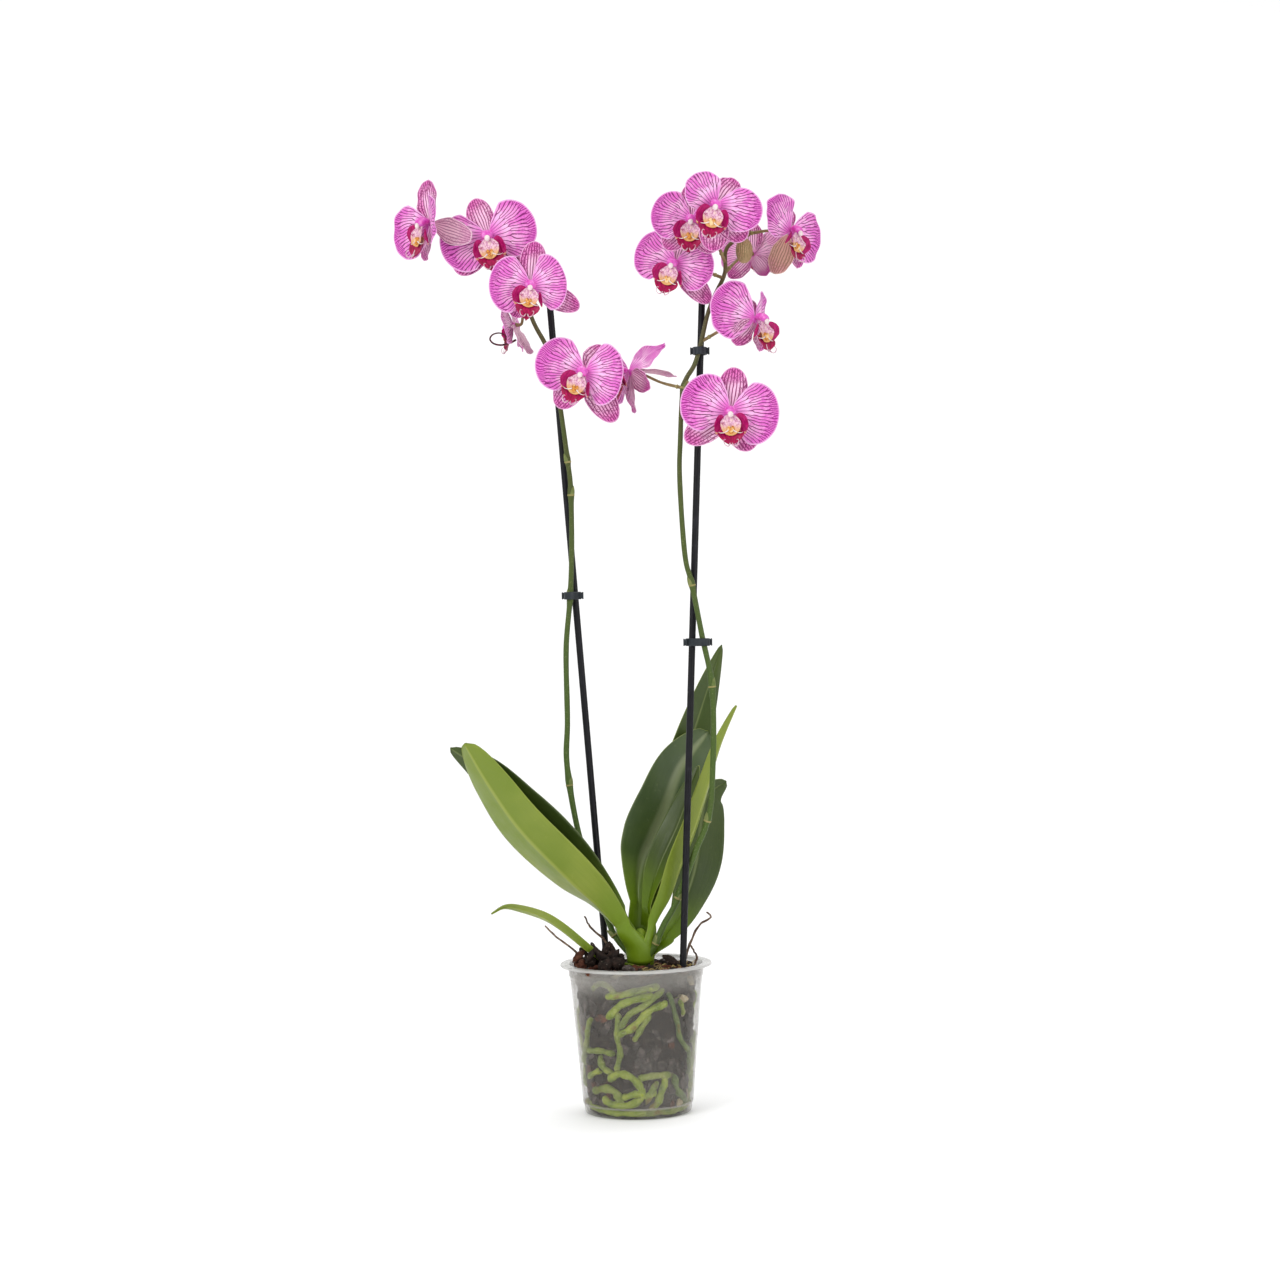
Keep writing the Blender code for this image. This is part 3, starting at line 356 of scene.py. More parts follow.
# Looks of a lip piece, in the order in which its faces name them
LIP_LOOKS = ("lip_midlobe", "lip_callus", "column_pink", "anther_cap", "lip_tendril", "lip_throat",
             "lip_side_lobe", "tendril_dark")

# The long dark tendril that curls from the lip of the hanging bloom at the left, in mm
LOOSE_TENDRIL = [(-86, 6, 612), (-91, 5, 609.5), (-98, 5, 608), (-104, 5, 609.5), (-106.5, 5, 613),
                 (-104, 5, 616.5), (-98.5, 5, 617.5), (-94, 5, 615), (-95, 5, 612.5)]

# Bud that hangs from the right spike, its stalk, and the tip of that spike, in mm
BUD_CENTRE = (94, -24, 676)
BUD_RADII = (6.65, 6.175, 10)
BUD_STALK = [(90, -13.6, 687), (94, -18, 693), (96, -22, 692), (94.1, -24, 686.3)]
TIP_RADII = (2.2, 2, 3.4)


def mm(points):
    """Points in metres from points in millimetres."""
    return [Vector(p) * MM for p in points]


def mirrored(points, side):
    """Points with their x turned over where side is -1."""
    return [(x * side, y, z) for x, y, z in points]


def linear(text, gain):
    """A linear colour from six hexadecimal digits of a screen colour."""
    out = []
    for i in (0, 2, 4):
        c = int(text[i:i + 2], 16) / 255
        out.append(gain * (c / 12.92 if c <= 0.04045 else ((c + 0.055) / 1.055) ** 2.4))
    return (*out, 1)


def smooth_path(points, count):
    """Points of a Catmull-Rom curve through the given points, evenly shared among its spans."""
    pts = [Vector(p) for p in points]
    ends = [2 * pts[0] - pts[1]] + pts + [2 * pts[-1] - pts[-2]]
    out = []
    for i in range(count):
        at = i / (count - 1) * (len(pts) - 1)
        k = min(int(at), len(pts) - 2)
        u = at - k
        a, b, c, d = ends[k:k + 4]
        out.append(0.5 * (2 * b + (c - a) * u + (2 * a - 5 * b + 4 * c - d) * u * u
                          + (3 * b - a - 3 * c + d) * u ** 3))
    return out


def turns(sides):
    """Angles all round, evenly apart."""
    return np.linspace(0, math.tau, sides, endpoint=False)


def spread(rows, cols):
    """A pair for each point of a grid, from 0 to 1 across its columns and along its rows."""
    return np.stack(np.meshgrid(np.linspace(0, 1, cols), np.linspace(0, 1, rows)), axis=2)


def polar(angle, radius, z=0):
    """The point at an angle and a distance from the pot's axis."""
    return Vector((math.cos(angle) * radius, math.sin(angle) * radius, z))


def scatter(rng, low, high):
    """A random vector: up to 1 either way on the level, and a rise from low to high."""
    return Vector((rng.uniform(-1, 1), rng.uniform(-1, 1), rng.uniform(low, high)))


def offset(origin, *terms):
    """Points at an origin plus amounts along axes. A term holds an array of amounts and its axis."""
    return np.array(origin) + sum(np.asarray(amount)[..., None] * np.array(axis) for amount, axis in terms)


def rotation(*steps):
    """One turn made of several, each an angle in radians and the letter of its axis."""
    out = Matrix.Identity(3)
    for angle, axis in steps:
        out = out @ Matrix.Rotation(angle, 3, axis)
    return out


def ellipsoid(centre, radii, rows, sides, low, high, girth=lambda rise, turn: np.sin(rise)):
    """Rings of an ellipsoid from its foot up. low and high trim its poles, girth shapes its rings."""
    rise, turn = np.meshgrid(math.pi * np.linspace(low, high, rows), turns(sides), indexing="ij")
    wide = girth(rise, turn)
    return offset(centre, (radii[0] * wide * np.cos(turn), (1, 0, 0)),
                  (radii[1] * wide * np.sin(turn), (0, 1, 0)), (-radii[2] * np.cos(rise), (0, 0, 1)))


def link_object(name, data):
    """An object of some data, put into the scene."""
    obj = bpy.data.objects.new(name, data)
    bpy.context.scene.collection.objects.link(obj)
    return obj


# Meshes

class Shape:
    """Gathers grids and tubes into one mesh, with a material and surface coordinates for each face."""

    def __init__(self):
        self.verts = []
        self.faces = []
        self.mats = []
        self.uvs = []
        self.extras = []

    def face(self, corners, uvs, mat, extras=None):
        """Add one face."""
        self.faces.append(corners)
        self.mats.append(mat)
        self.uvs.extend(uvs)
        self.extras.extend(extras or [(0, 0)] * len(corners))

    def grid(self, points, mat=0, uv=None, extra=None, closed=False, flip=False):
        """Add a grid of points. uv and extra hold a pair for each, and one more column if closed."""
        rows, cols = points.shape[:2]
        first = len(self.verts)
        self.verts.extend(points.reshape(-1, 3).tolist())
        uv = (spread(rows, cols + closed) if uv is None else uv).tolist()
        extra = extra.tolist() if extra is not None else None
        for r in range(rows - 1):
            for c in range(cols if closed else cols - 1):
                n = (c + 1) % cols
                spots = [(r, c, c), (r, n, c + 1), (r + 1, n, c + 1), (r + 1, c, c)]
                if flip:
                    spots.reverse()
                self.face([first + i * cols + j for i, j, _ in spots], [uv[i][k] for i, _, k in spots],
                          mat, extra and [extra[i][k] for i, _, k in spots])
        return first

    def closed(self, rings, mat=0, uv=None):
        """Add rings of points as a skin with a flat face at each end."""
        rows, sides = rings.shape[:2]
        uv = spread(rows, sides + 1) if uv is None else uv
        first = self.grid(rings, mat, uv, closed=True)
        ring = range(first, first + sides)
        self.face(list(ring)[::-1], [(0.5, uv[0, 0, 1])] * sides, mat)
        self.face([(rows - 1) * sides + k for k in ring], [(0.5, uv[-1, 0, 1])] * sides, mat)

    def tube(self, path, radii, sides=12, mat=0, squash=1, wobble=None):
        """Add a closed tube along a path. radii is one radius or one for each point."""
        pts = np.array([tuple(p) for p in path])
        along = np.gradient(pts, axis=0)
        along /= np.linalg.norm(along, axis=1)[:, None] + 1e-12
        lengths = np.append(0, np.cumsum(np.linalg.norm(np.diff(pts, axis=0), axis=1)))
        side = np.cross(along[0], (0.31, 0.42, 0.85))
        turn = turns(sides)
        rings = []
        for spot, ahead, radius, length in zip(pts, along, np.broadcast_to(radii, len(pts)), lengths):
            side = side - ahead * side.dot(ahead)
            side /= np.linalg.norm(side)
            reach = radius * (1 + wobble(turn, length)) if wobble else radius
            rings.append(offset(spot, (np.cos(turn) * reach, side),
                                (np.sin(turn) * reach * squash, np.cross(ahead, side))))
        uv = spread(len(pts), sides + 1)
        uv[:, :, 1] = (lengths / UV_SPAN)[:, None]
        self.closed(np.array(rings), mat, uv)

    def thread(self, points, count, radius, last, sides, mat):
        """Add a tube through points in mm that thins evenly to a share of its radius."""
        self.tube(smooth_path(mm(points), count), radius * MM * np.linspace(1, last, count), sides, mat)

    def ball(self, centre, radii, mat):
        """Add a closed ellipsoid. Its centre and radii are in mm."""
        self.closed(MM * ellipsoid(centre, radii, 10, 16, 0.04, 0.96), mat)

    def blade(self, points, thickness, uv, mats, extra=None):
        """Add a thin closed blade round a grid of points. mats are its front and back materials."""
        extra = np.zeros_like(uv) if extra is None else extra
        normal = np.cross(np.gradient(points, axis=1), np.gradient(points, axis=0))
        normal /= np.linalg.norm(normal, axis=2)[:, :, None] + 1e-12
        half = thickness[:, :, None] / 2
        front = self.grid(points + normal * half, mats[0], uv, extra)
        back = self.grid(points - normal * half, mats[1], uv, extra, flip=True)
        index = np.arange(thickness.size).reshape(thickness.shape)
        rim = [*index[0], *index[1:, -1], *index[-1, -2::-1], *index[-2:0:-1, 0]]
        uv, extra = uv.reshape(-1, 2), extra.reshape(-1, 2)
        for a, b in zip(rim, rim[1:] + rim[:1]):
            corners = ((front, b), (front, a), (back, a), (back, b))
            self.face([int(first + k) for first, k in corners], [uv[k] for _, k in corners], mats[0],
                      [extra[k] for _, k in corners])

    def transform(self, matrix):
        """Move every point gathered so far."""
        self.verts = [tuple(matrix @ Vector(v)) for v in self.verts]

    def plain_object(self, name):
        """Make the object, as yet without looks."""
        mesh = bpy.data.meshes.new(name)
        mesh.from_pydata(self.verts, [], self.faces)
        return link_object(name, mesh)

    def settle(self, name, looks, nodes, sharp=None):
        """Make the object with its looks, let it ride, and let it stand for its nodes."""
        obj = self.plain_object(name)
        mesh = obj.data
        mesh.polygons.foreach_set("material_index", self.mats)
        for label, data in (("surface", self.uvs), ("extra", self.extras)):
            layer = mesh.uv_layers.new(name=label)
            layer.uv.foreach_set("vector", np.array(data, dtype=np.float32).ravel())
        mesh.shade_smooth()
        if sharp is not None:
            mesh.set_sharp_from_angle(angle=math.radians(sharp))
        for look in looks:
            mesh.materials.append(LOOKS[look])
        mesh.update()
        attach(obj, BODY)
        if nodes:
            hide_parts(*nodes)
        return obj


# Materials, kept by the names that the pieces use

LOOKS = {}


class Value:
    """A shader value. Sums, products and steps of it add their nodes to its look."""

    def __init__(self, look, socket):
        self.look = look
        self.socket = socket

    def __add__(self, other):
        return self.look.math("ADD", self, other)

    def __sub__(self, other):
        return self.look.math("SUBTRACT", self, other)

    def __mul__(self, other):
        return self.look.math("MULTIPLY", self, other)

    def __truediv__(self, other):
        return self.look.math("DIVIDE", self, other)

    def __abs__(self):
        return self.look.math("ABSOLUTE", self)

    def step(self, low, high, first=0, last=1):
        """A smooth step from first to last between low and high."""
        node = self.look.node("MapRange", interpolation_type="SMOOTHSTEP")
        return self.look.feed(node, self, low, high, first, last)


class Look:
    """A Principled material and short ways to add nodes to it. A text stands for a screen colour."""

    def __init__(self, name, roughness=0.5, gain=COLOUR_GAIN, gloss=SOFT_GLOSS, **sockets):
        self.gain = gain
        self.mat = LOOKS[name] = bpy.data.materials.new(name)
        self.mat.use_nodes = True
        self.tree = self.mat.node_tree
        self.shader = self.tree.nodes["Principled BSDF"]
        self.shader.inputs["Roughness"].default_value = roughness
        self.shader.inputs["Specular IOR Level"].default_value = gloss
        for key, value in sockets.items():
            self.shader.inputs[key.replace("_", " ").title()].default_value = value

    def node(self, kind, **values):
        """Add a node and set its properties."""
        node = self.tree.nodes.new("ShaderNode" + kind)
        for key, value in values.items():
            setattr(node, key, value)
        return node

    def link(self, source, target):
        """Join a value to a socket, or set a constant."""
        if isinstance(source, Value):
            self.tree.links.new(source.socket, target)
        else:
            target.default_value = linear(source, self.gain) if isinstance(source, str) else source

    def feed(self, node, *sources):
        """Fill a node's inputs in their order and return its first output."""
        for source, socket in zip(sources, node.inputs):
            self.link(source, socket)
        return Value(self, node.outputs[0])

    def math(self, operation, *values):
        """One math node."""
        return self.feed(self.node("Math", operation=operation), *values)

    def vector(self, x, y, z=0):
        """A vector from three values."""
        return self.feed(self.node("CombineXYZ"), x, y, z)

    def split(self, vector):
        """The three values of a vector."""
        node = self.node("SeparateXYZ")
        self.link(vector, node.inputs[0])
        return [Value(self, socket) for socket in node.outputs]

    def mix(self, share, first, second):
        """A mix of two colours."""
        node = self.node("Mix", data_type="RGBA")
        for source, index in ((share, 0), (first, 6), (second, 7)):
            self.link(source, node.inputs[index])
        return Value(self, node.outputs[2])

    def ramp(self, value, places, tones):
        """A colour ramp with these tones at these places."""
        node = self.node("ValToRGB")
        points = node.color_ramp.elements
        while len(points) < len(places):
            points.new(0.5)
        for point, place, tone in zip(points, places, tones):
            point.position = place
            point.color = linear(tone, self.gain)
        return self.feed(node, value)

    def spots(self, tone, colour, scale, detail, low, high, share=1):
        """A colour with another laid over it where noise passes from low to high."""
        return self.mix(self.noise(scale, detail).step(low, high, 0, share), tone, colour)

    def surface(self, layer="surface"):
        """The two coordinates of a surface layer."""
        return self.split(Value(self, self.node("UVMap", uv_map=layer).outputs[0]))[:2]

    def place(self):
        """The point in the object's own space, in metres."""
        return Value(self, self.node("TexCoord").outputs["Object"])

    def texture(self, node, vector, **inputs):
        """The first output of a texture node, which reads the place unless a vector is given."""
        for key, value in inputs.items():
            node.inputs[key].default_value = value
        self.link(vector or self.place(), node.inputs["Vector"])
        return Value(self, node.outputs[0])

    def noise(self, scale, detail=2, vector=None, roughness=0.5):
        """Noise from 0 to 1."""
        return self.texture(self.node("TexNoise"), vector, Scale=scale, Detail=detail, Roughness=roughness)

    def cells(self, scale, feature="F1", vector=None):
        """Distances in a Voronoi pattern."""
        return self.texture(self.node("TexVoronoi", feature=feature), vector, Scale=scale)

    def done(self, tone, height, strength, depth, rough=None):
        """Set the base colour, raise the surface by a height map and set the roughness if given."""
        bump = self.node("Bump")
        for source, key in ((strength, "Strength"), (depth, "Distance"), (height, "Height")):
            self.link(source, bump.inputs[key])
        self.tree.links.new(bump.outputs[0], self.shader.inputs["Normal"])
        self.link(tone, self.shader.inputs["Base Color"])
        if rough is not None:
            self.link(rough, self.shader.inputs["Roughness"])


def petal_look(name, tones, faint):
    """Broad petals: fine forking purple veins that fan from the claw. faint fades them for the backs.

    x, y and rho are in mm from a point below the claw, and theta is the angle there.
    """
    look = Look(name, 0.5, BLOOM_GAIN, subsurface_weight=0.1, subsurface_radius=FLESH_DEPTHS)
    u, v = look.surface()
    edge, seed = look.surface("extra")
    span = UV_SPAN / MM
    x = (u - 0.5) * span
    y = v * span + 6
    rho = look.math("SQRT", x * x + y * y)
    spot = look.vector(x + seed * 97, y, seed)
    straight = look.math("ARCTAN2", x, y)
    theta = straight + (look.noise(0.06, 1, spot) - 0.5) * 0.22
    reach = rho + (look.noise(0.16, 1, spot) - 0.5) * 16
    half = 0.082
    away = look.math("PINGPONG", theta + half, half)
    for fork, low in ((half / 2, 20), (half / 4, 36)):
        away = abs(away - reach.step(low, low + 7, 0, fork))
    wide = rho.step(8, 36, 0.12, 0.25)
    vein = (away * rho).step(wide, wide + 0.2, 1, 0)
    vein = vein * look.noise(0.4, 1, spot).step(0.25, 0.42, 0.6, 1) * rho.step(8, 16, 0.1, 1)
    side = abs(straight).step(0.55, 1.05)
    net = look.cells(0.5, "DISTANCE_TO_EDGE", look.vector(theta * 40, rho * 0.8, seed))
    net = net.step(0, 0.15, 1, 0) * look.math("MAXIMUM", rho.step(24, 44), side * 0.8) * 0.65
    ground = look.ramp(rho / span, (0.13, 0.26, 0.44, 0.66, 0.88), tones)
    flush = look.noise(0.12, 3, spot).step(0.40, 0.60) * rho.step(14, 32, 0.3, 0.85)
    ground = look.mix(flush, ground, tones[5])
    ground = look.mix(side * 0.35, ground, tones[4])
    tone = look.mix(net * (1 - faint), ground, "BC3AA8")
    deep = look.mix(side, "640E50", "921C78")
    deep = look.mix(rho.step(34, 46, 0, 0.6), deep, "A8208C")
    tone = look.mix(vein * (0.97 - 0.5 * faint), tone, deep)
    tone = look.mix(edge.step(0.93, 0.985) * 0.85, tone, "EFB6E4")
    look.done(tone, look.noise(1.6, 2, spot) - vein * 0.8, 0.3, 0.4 * MM)


def sepal_look(name, ground, veins, warm):
    """Narrower sepals: lengthwise veins tied by a net. warm fades the net for backs and buds.

    ground holds the tones of the middle, the ends and the margin.
    """
    look = Look(name, 0.52, BLOOM_GAIN, subsurface_weight=0.1, subsurface_radius=FLESH_DEPTHS)
    middle, end, margin = ground
    a, t = look.surface()
    edge, seed = look.surface("extra")
    spot = look.vector(a * 12, t * 14, seed * 31)
    drift = (look.noise(0.3, 2, spot) - 0.5) * 0.07
    vein = look.math("PINGPONG", a + drift + 0.04, 0.055).step(0.011, 0.026, 1, 0)
    outer = look.math("MAXIMUM", abs(a - 0.5).step(0.12, 0.3), t.step(0.5, 0.8))
    net = look.cells(0.85, "DISTANCE_TO_EDGE", spot).step(0.02, 0.11, 1, 0)
    net = net * (0.95 - 0.75 * warm) * outer
    mask = look.math("MAXIMUM", vein, net) * t.step(0.04, 0.22, 0.25, 1)
    pale = look.ramp(t, (0, 0.16, 0.6, 1), (end, middle, middle, end))
    blush = look.noise(0.16, 2, spot).step(0.38, 0.6) * 0.75
    pale = look.mix(blush * outer, pale, end)
    tone = look.mix(mask * (0.95 - 0.35 * warm), pale, veins)
    tone = look.mix(edge.step(0.93, 0.985) * 0.75, tone, margin)
    look.done(tone, look.noise(0.7, 2, spot) - mask, 0.3, 0.3 * MM)


def lip_look(name, tones, flecks, pale_end):
    """Crimson lobes, darker in streaks, that turn cream and gold with red lines at their foot."""
    look = Look(name, 0.42, BLOOM_GAIN)
    a, t = look.surface()
    streak = look.noise(1.2, 3, look.vector(a * 9, t * 4))
    tone = look.ramp(streak, (0.3, 0.55, 0.75), tones)
    base = (t + (streak - 0.5) * 0.3).step(pale_end * 0.45, pale_end, 1, 0)
    stripes = look.math("PINGPONG", a + 0.03, 0.075).step(0.018, 0.04)
    cream = look.mix(stripes, flecks, "E9B06A")
    cream = look.mix(t.step(pale_end * 0.2, pale_end * 0.9), cream, "F0D3B4")
    look.done(look.mix(base, tone, cream), streak, 0.3, 0.3 * MM)


def throat_look():
    """The lip's pale throat: cream and lilac with fine brown-red marks."""
    look = Look("lip_throat", 0.45, BLOOM_GAIN)
    a, t = look.surface()
    spot = look.vector(a * 8, t * 8)
    wide = look.noise(0.6, 2, spot)
    tone = look.ramp(wide, (0.3, 0.5, 0.7), ("CB93B8", "E0B4CC", "EDD3C4"))
    marks = look.cells(1.1, "DISTANCE_TO_EDGE", spot).step(0.02, 0.10, 1, 0)
    tone = look.mix(marks * wide.step(0.4, 0.6, 0.85, 0.35), tone, "9C3E58")
    tone = look.mix(t.step(0.45, 0.85), tone, "D8A468")
    look.done(tone, wide, 0.2, 0.3 * MM)


def callus_look():
    """The yellow bump between the lobes, dotted with red."""
    look = Look("lip_callus", 0.35, BLOOM_GAIN)
    dots = look.cells(900)
    tone = look.mix(dots.step(0.22, 0.42, 1, 0), "D08C38", "8E1F28")
    tone = look.spots(tone, "EBCB98", 260, 1, 0.45, 0.62)
    look.done(tone, dots, 0.2, 0.2 * MM)


def column_look():
    """The column's hood: magenta pink, mottled at random from deep to pale."""
    look = Look("column_pink", 0.4, BLOOM_GAIN, subsurface_weight=0.1)
    tone = look.ramp(look.noise(330, 2), (0.3, 0.55, 0.8), ("C93CA6", "D965BE", "EA9AD6"))
    look.done(tone, look.noise(900, 1), 0.15, 0.2 * MM)


def plain_look(name, tones, scale, roughness, relief):
    """A mottled skin: noise through two or three colours, with a slight relief in mm."""
    look = Look(name, roughness)
    places = (0.3, 0.7) if len(tones) == 2 else (0.3, 0.55, 0.8)
    tone = look.ramp(look.noise(scale, 3), places, tones)
    look.done(tone, look.noise(scale * 4, 2), 0.3, relief * MM)


def root_look(name, tones):
    """A root's spongy skin: green under a silvery coat, with brown scars and fine lengthwise lines."""
    look = Look(name, 0.55)
    u, v = look.surface()
    tone = look.ramp(look.noise(110, 4), (0.3, 0.5, 0.7), tones)
    lines = look.noise(1, 3, look.vector(u * 24, v * 30))
    tone = look.mix(lines.step(0.45, 0.7, 0, 0.45), tone, "C3CB8C")
    tone = look.spots(tone, "86682A", 65, 4, 0.6, 0.68, 0.75)
    tone = look.spots(tone, "4A3A1E", 420, 2, 0.62, 0.7, 0.6)
    look.done(tone, lines + look.noise(500, 3), 0.4, 0.7 * MM)


def leaf_look(name, blade_tone, deep_tone, rib_tone, rib_width, gloss):
    """A thick smooth leaf: fine lengthwise veins, a midrib and slow changes of green."""
    look = Look(name, gloss, coat_weight=0.15, coat_roughness=0.3)
    a, along = look.surface()
    off = abs(a - 0.5)
    fibre = look.noise(1, 4, look.vector(a * 26, along * 1.2))
    slow = look.noise(14, 3)
    tone = look.mix(slow.step(0.35, 0.68), blade_tone, deep_tone)
    tone = look.mix(fibre.step(0.42, 0.75, 0, 0.4), tone, deep_tone)
    tone = look.spots(tone, rib_tone, 300, 2, 0.6, 0.75, 0.12)
    tone = look.mix(off.step(rib_width * 0.25, rib_width, 1, 0) * 0.75, tone, rib_tone)
    tone = look.mix((along + slow * 0.4).step(0.4, 1.5, 1, 0) * 0.85, tone, "6C8A0C")
    tone = look.mix(off.step(0.478, 0.497) * 0.5, tone, rib_tone)
    rough = look.noise(60, 2).step(0.3, 0.7, gloss - 0.05, gloss + 0.12)
    look.done(tone, fibre + look.noise(700, 2) * 0.3, 0.28, 0.4 * MM, rough)


def stem_look():
    """The spike's skin: green below and olive brown above, finely speckled."""
    look = Look("stem_skin", 0.45)
    height = look.split(look.place())[2] + look.noise(30, 2) * 0.05
    tone = look.ramp(height / 0.75, (0.18, 0.5, 0.72, 0.88, 0.96),
                     ("4C6426", "495E27", "4E5628", "5E5838", "7C6A45"))
    tone = look.spots(tone, "8A9460", 900, 2, 0.6, 0.7, 0.5)
    tone = look.spots(tone, "4A5A2A", 55, 3, 0.5, 0.72, 0.55)
    look.done(tone, look.noise(600, 3), 0.25, 0.3 * MM)


def pot_look():
    """Thin clear plastic: milky at its grazing sides and in the flange, with a bright step ring."""
    look = Look("pot_plastic", 0.22, gloss=0.45)
    look.shader.inputs["IOR"].default_value = 1.49
    cloud = look.noise(18, 4)
    height = look.split(look.place())[2]
    high = height.step(0.1135, 0.1165)
    tone = look.mix(high, look.ramp(cloud, (0.3, 0.7), ("9E9B95", "BEBAB3")), "D9D8D5")
    facing = look.node("LayerWeight")
    facing.inputs["Blend"].default_value = 0.5
    haze = Value(look, facing.outputs["Facing"]).step(0.35, 0.95, 0.10, 0.42)
    haze = haze + cloud.step(0.5, 0.75, 0, 0.08) + height.step(0.094, 0.112, 0, 0.28)
    haze = haze + abs(height - STEP_HEIGHT).step(0.0003, 0.0013, 0.3, 0)
    look.link(look.math("MAXIMUM", haze, high * 0.62), look.shader.inputs["Alpha"])
    rough = look.noise(90, 3).step(0.3, 0.7, 0.14, 0.34)
    look.done(tone, look.noise(70, 3), 0.12, 0.6 * MM, rough)


def bark_look(name, tones):
    """Broken bark: layered browns with dark patches and pale scars, rough all over."""
    look = Look(name, 0.85)
    places = (0.3, 0.5, 0.7) if len(tones) == 3 else (0.3, 0.47, 0.58, 0.72)
    tone = look.ramp(look.noise(220, 5, roughness=0.65), places, tones)
    tone = look.mix(look.noise(48, 3).step(0.35, 0.65, 0.45, 0), tone, "191413")
    tone = look.spots(tone, "A2968A", 650, 2, 0.66, 0.72, 0.55)
    look.done(tone, look.noise(900, 4), 0.6, 1 * MM)


def stake_look():
    """Dark coated rod with dust and a slight satin."""
    look = Look("stake_coating", 0.42)
    streak = look.noise(120, 3)
    tone = look.ramp(streak, (0.3, 0.6, 0.85), ("0B0B10", "131319", "2A2A32"))
    look.done(tone, look.noise(700, 3), 0.2, 0.3 * MM, streak.step(0.3, 0.7, 0.34, 0.55))


def build_looks():
    """Make every material of the plant and its pot."""
    petal_look("petal_front", ("DE48BC", "EA86D6", "F6BFE7", "EE9ED8", "DC74C4", "DC66C4"), 0)
    sepal_look("sepal_front", ("F3C2E0", "D860B2", "EDB4DC"), "7E105C", 0)
    petal_look("petal_back", ("DC8AC6", "E6A6D2", "F0C6DE", "E6A8D0", "DE92C6", "E29CCA"), 0.5)
    sepal_look("sepal_back", ("DDB0A0", "D99AA0", "E6C6B4"), "8F6A50", 0.4)
    sepal_look("sepal_back_pink", ("E4BACA", "D296B6", "ECCEDA"), "8C4872", 0.35)
    sepal_look("bud_skin", ("B89A74", "A88464", "C4A488"), "5F5C32", 0.35)
    lip_look("lip_midlobe", ("80063A", "A40A4A", "BC1C5C"), "9B1530", 0.34)
    lip_look("lip_side_lobe", ("8E0450", "AE0C62", "C22476"), "B4262F", 0.12)
    throat_look()
    callus_look()
    column_look()
    plain_look("anther_cap", ("EBD3DC", "FBF3EC"), 500, 0.4, 0.2)
    plain_look("lip_tendril", ("C98BA6", "EAD2D8"), 500, 0.45, 0.1)
    plain_look("tendril_dark", ("3A1420", "6E2A3C"), 300, 0.45, 0.1)
    leaf_look("leaf_underside", "8C9A38", "768A28", "9CA74A", 0.05, 0.42)
    leaf_look("leaf_upper", "48591E", "384A18", "6A7840", 0.06, 0.34)
    leaf_look("leaf_broad", "4D5F30", "394D24", "86906A", 0.13, 0.34)
    stem_look()
    plain_look("pedicel_skin", ("7B6A42", "8F7B52", "A3896A"), 160, 0.5, 0.2)
    plain_look("node_ring", ("8E8A4C", "A89A68"), 300, 0.6, 0.3)
    plain_look("bract_skin", ("63743A", "8A8F58"), 200, 0.65, 0.3)
    stake_look()
    plain_look("clip_plastic", ("20262A", "353B40"), 200, 0.4, 0.2)
    pot_look()
    bark_look("bark_dark", ("17120F", "2C211B", "43322A"))
    bark_look("bark_grey", ("2A2423", "4A423F", "665C57", "8C8078"))
    bark_look("bark_red", ("32190F", "5A3020", "7E4E36"))
    bark_look("bark_pale", ("A58E6C", "C9B891", "E2D7BB"))
    root_look("root_skin", ("687F10", "8CA01C", "AAB63E"))
    root_look("root_dull", ("5A6F1E", "7D8F2C", "A0A856"))
    root_look("root_dark", ("3B5520", "536E2C", "788C46"))
    bark_look("dry_root", ("4A362A", "7A6150", "A8917C"))
    plain_look("crown_skin", ("567010", "6E8E14", "8FA430"), 60, 0.45, 0.4)
    plain_look("straw_moss", ("8B7440", "C4AF74"), 300, 0.9, 0.4)


# Pot

def wall_radius(z):
    """The pot's outer radius at a height between the step ring and the neck."""
    share = (z - STEP_HEIGHT) / (NECK_HEIGHT - STEP_HEIGHT)
    return STEP_RADIUS + (NECK_RADIUS - STEP_RADIUS) * share


def rounded(corners, radius, steps=3):
    """A profile with its inner corners rounded off."""
    out = [corners[0]]
    for a, b, c in zip(corners, corners[1:], corners[2:]):
        p = Vector(b)
        toward = Vector(a) - p
        onward = Vector(c) - p
        cut = min(radius, toward.length / 2.2, onward.length / 2.2)
        start = p + toward.normalized() * cut
        end = p + onward.normalized() * cut
        for i in range(steps + 1):
            t = i / steps
            out.append(tuple(start * (1 - t) ** 2 + p * 2 * t * (1 - t) + end * t * t))
    out.append(corners[-1])
    return out


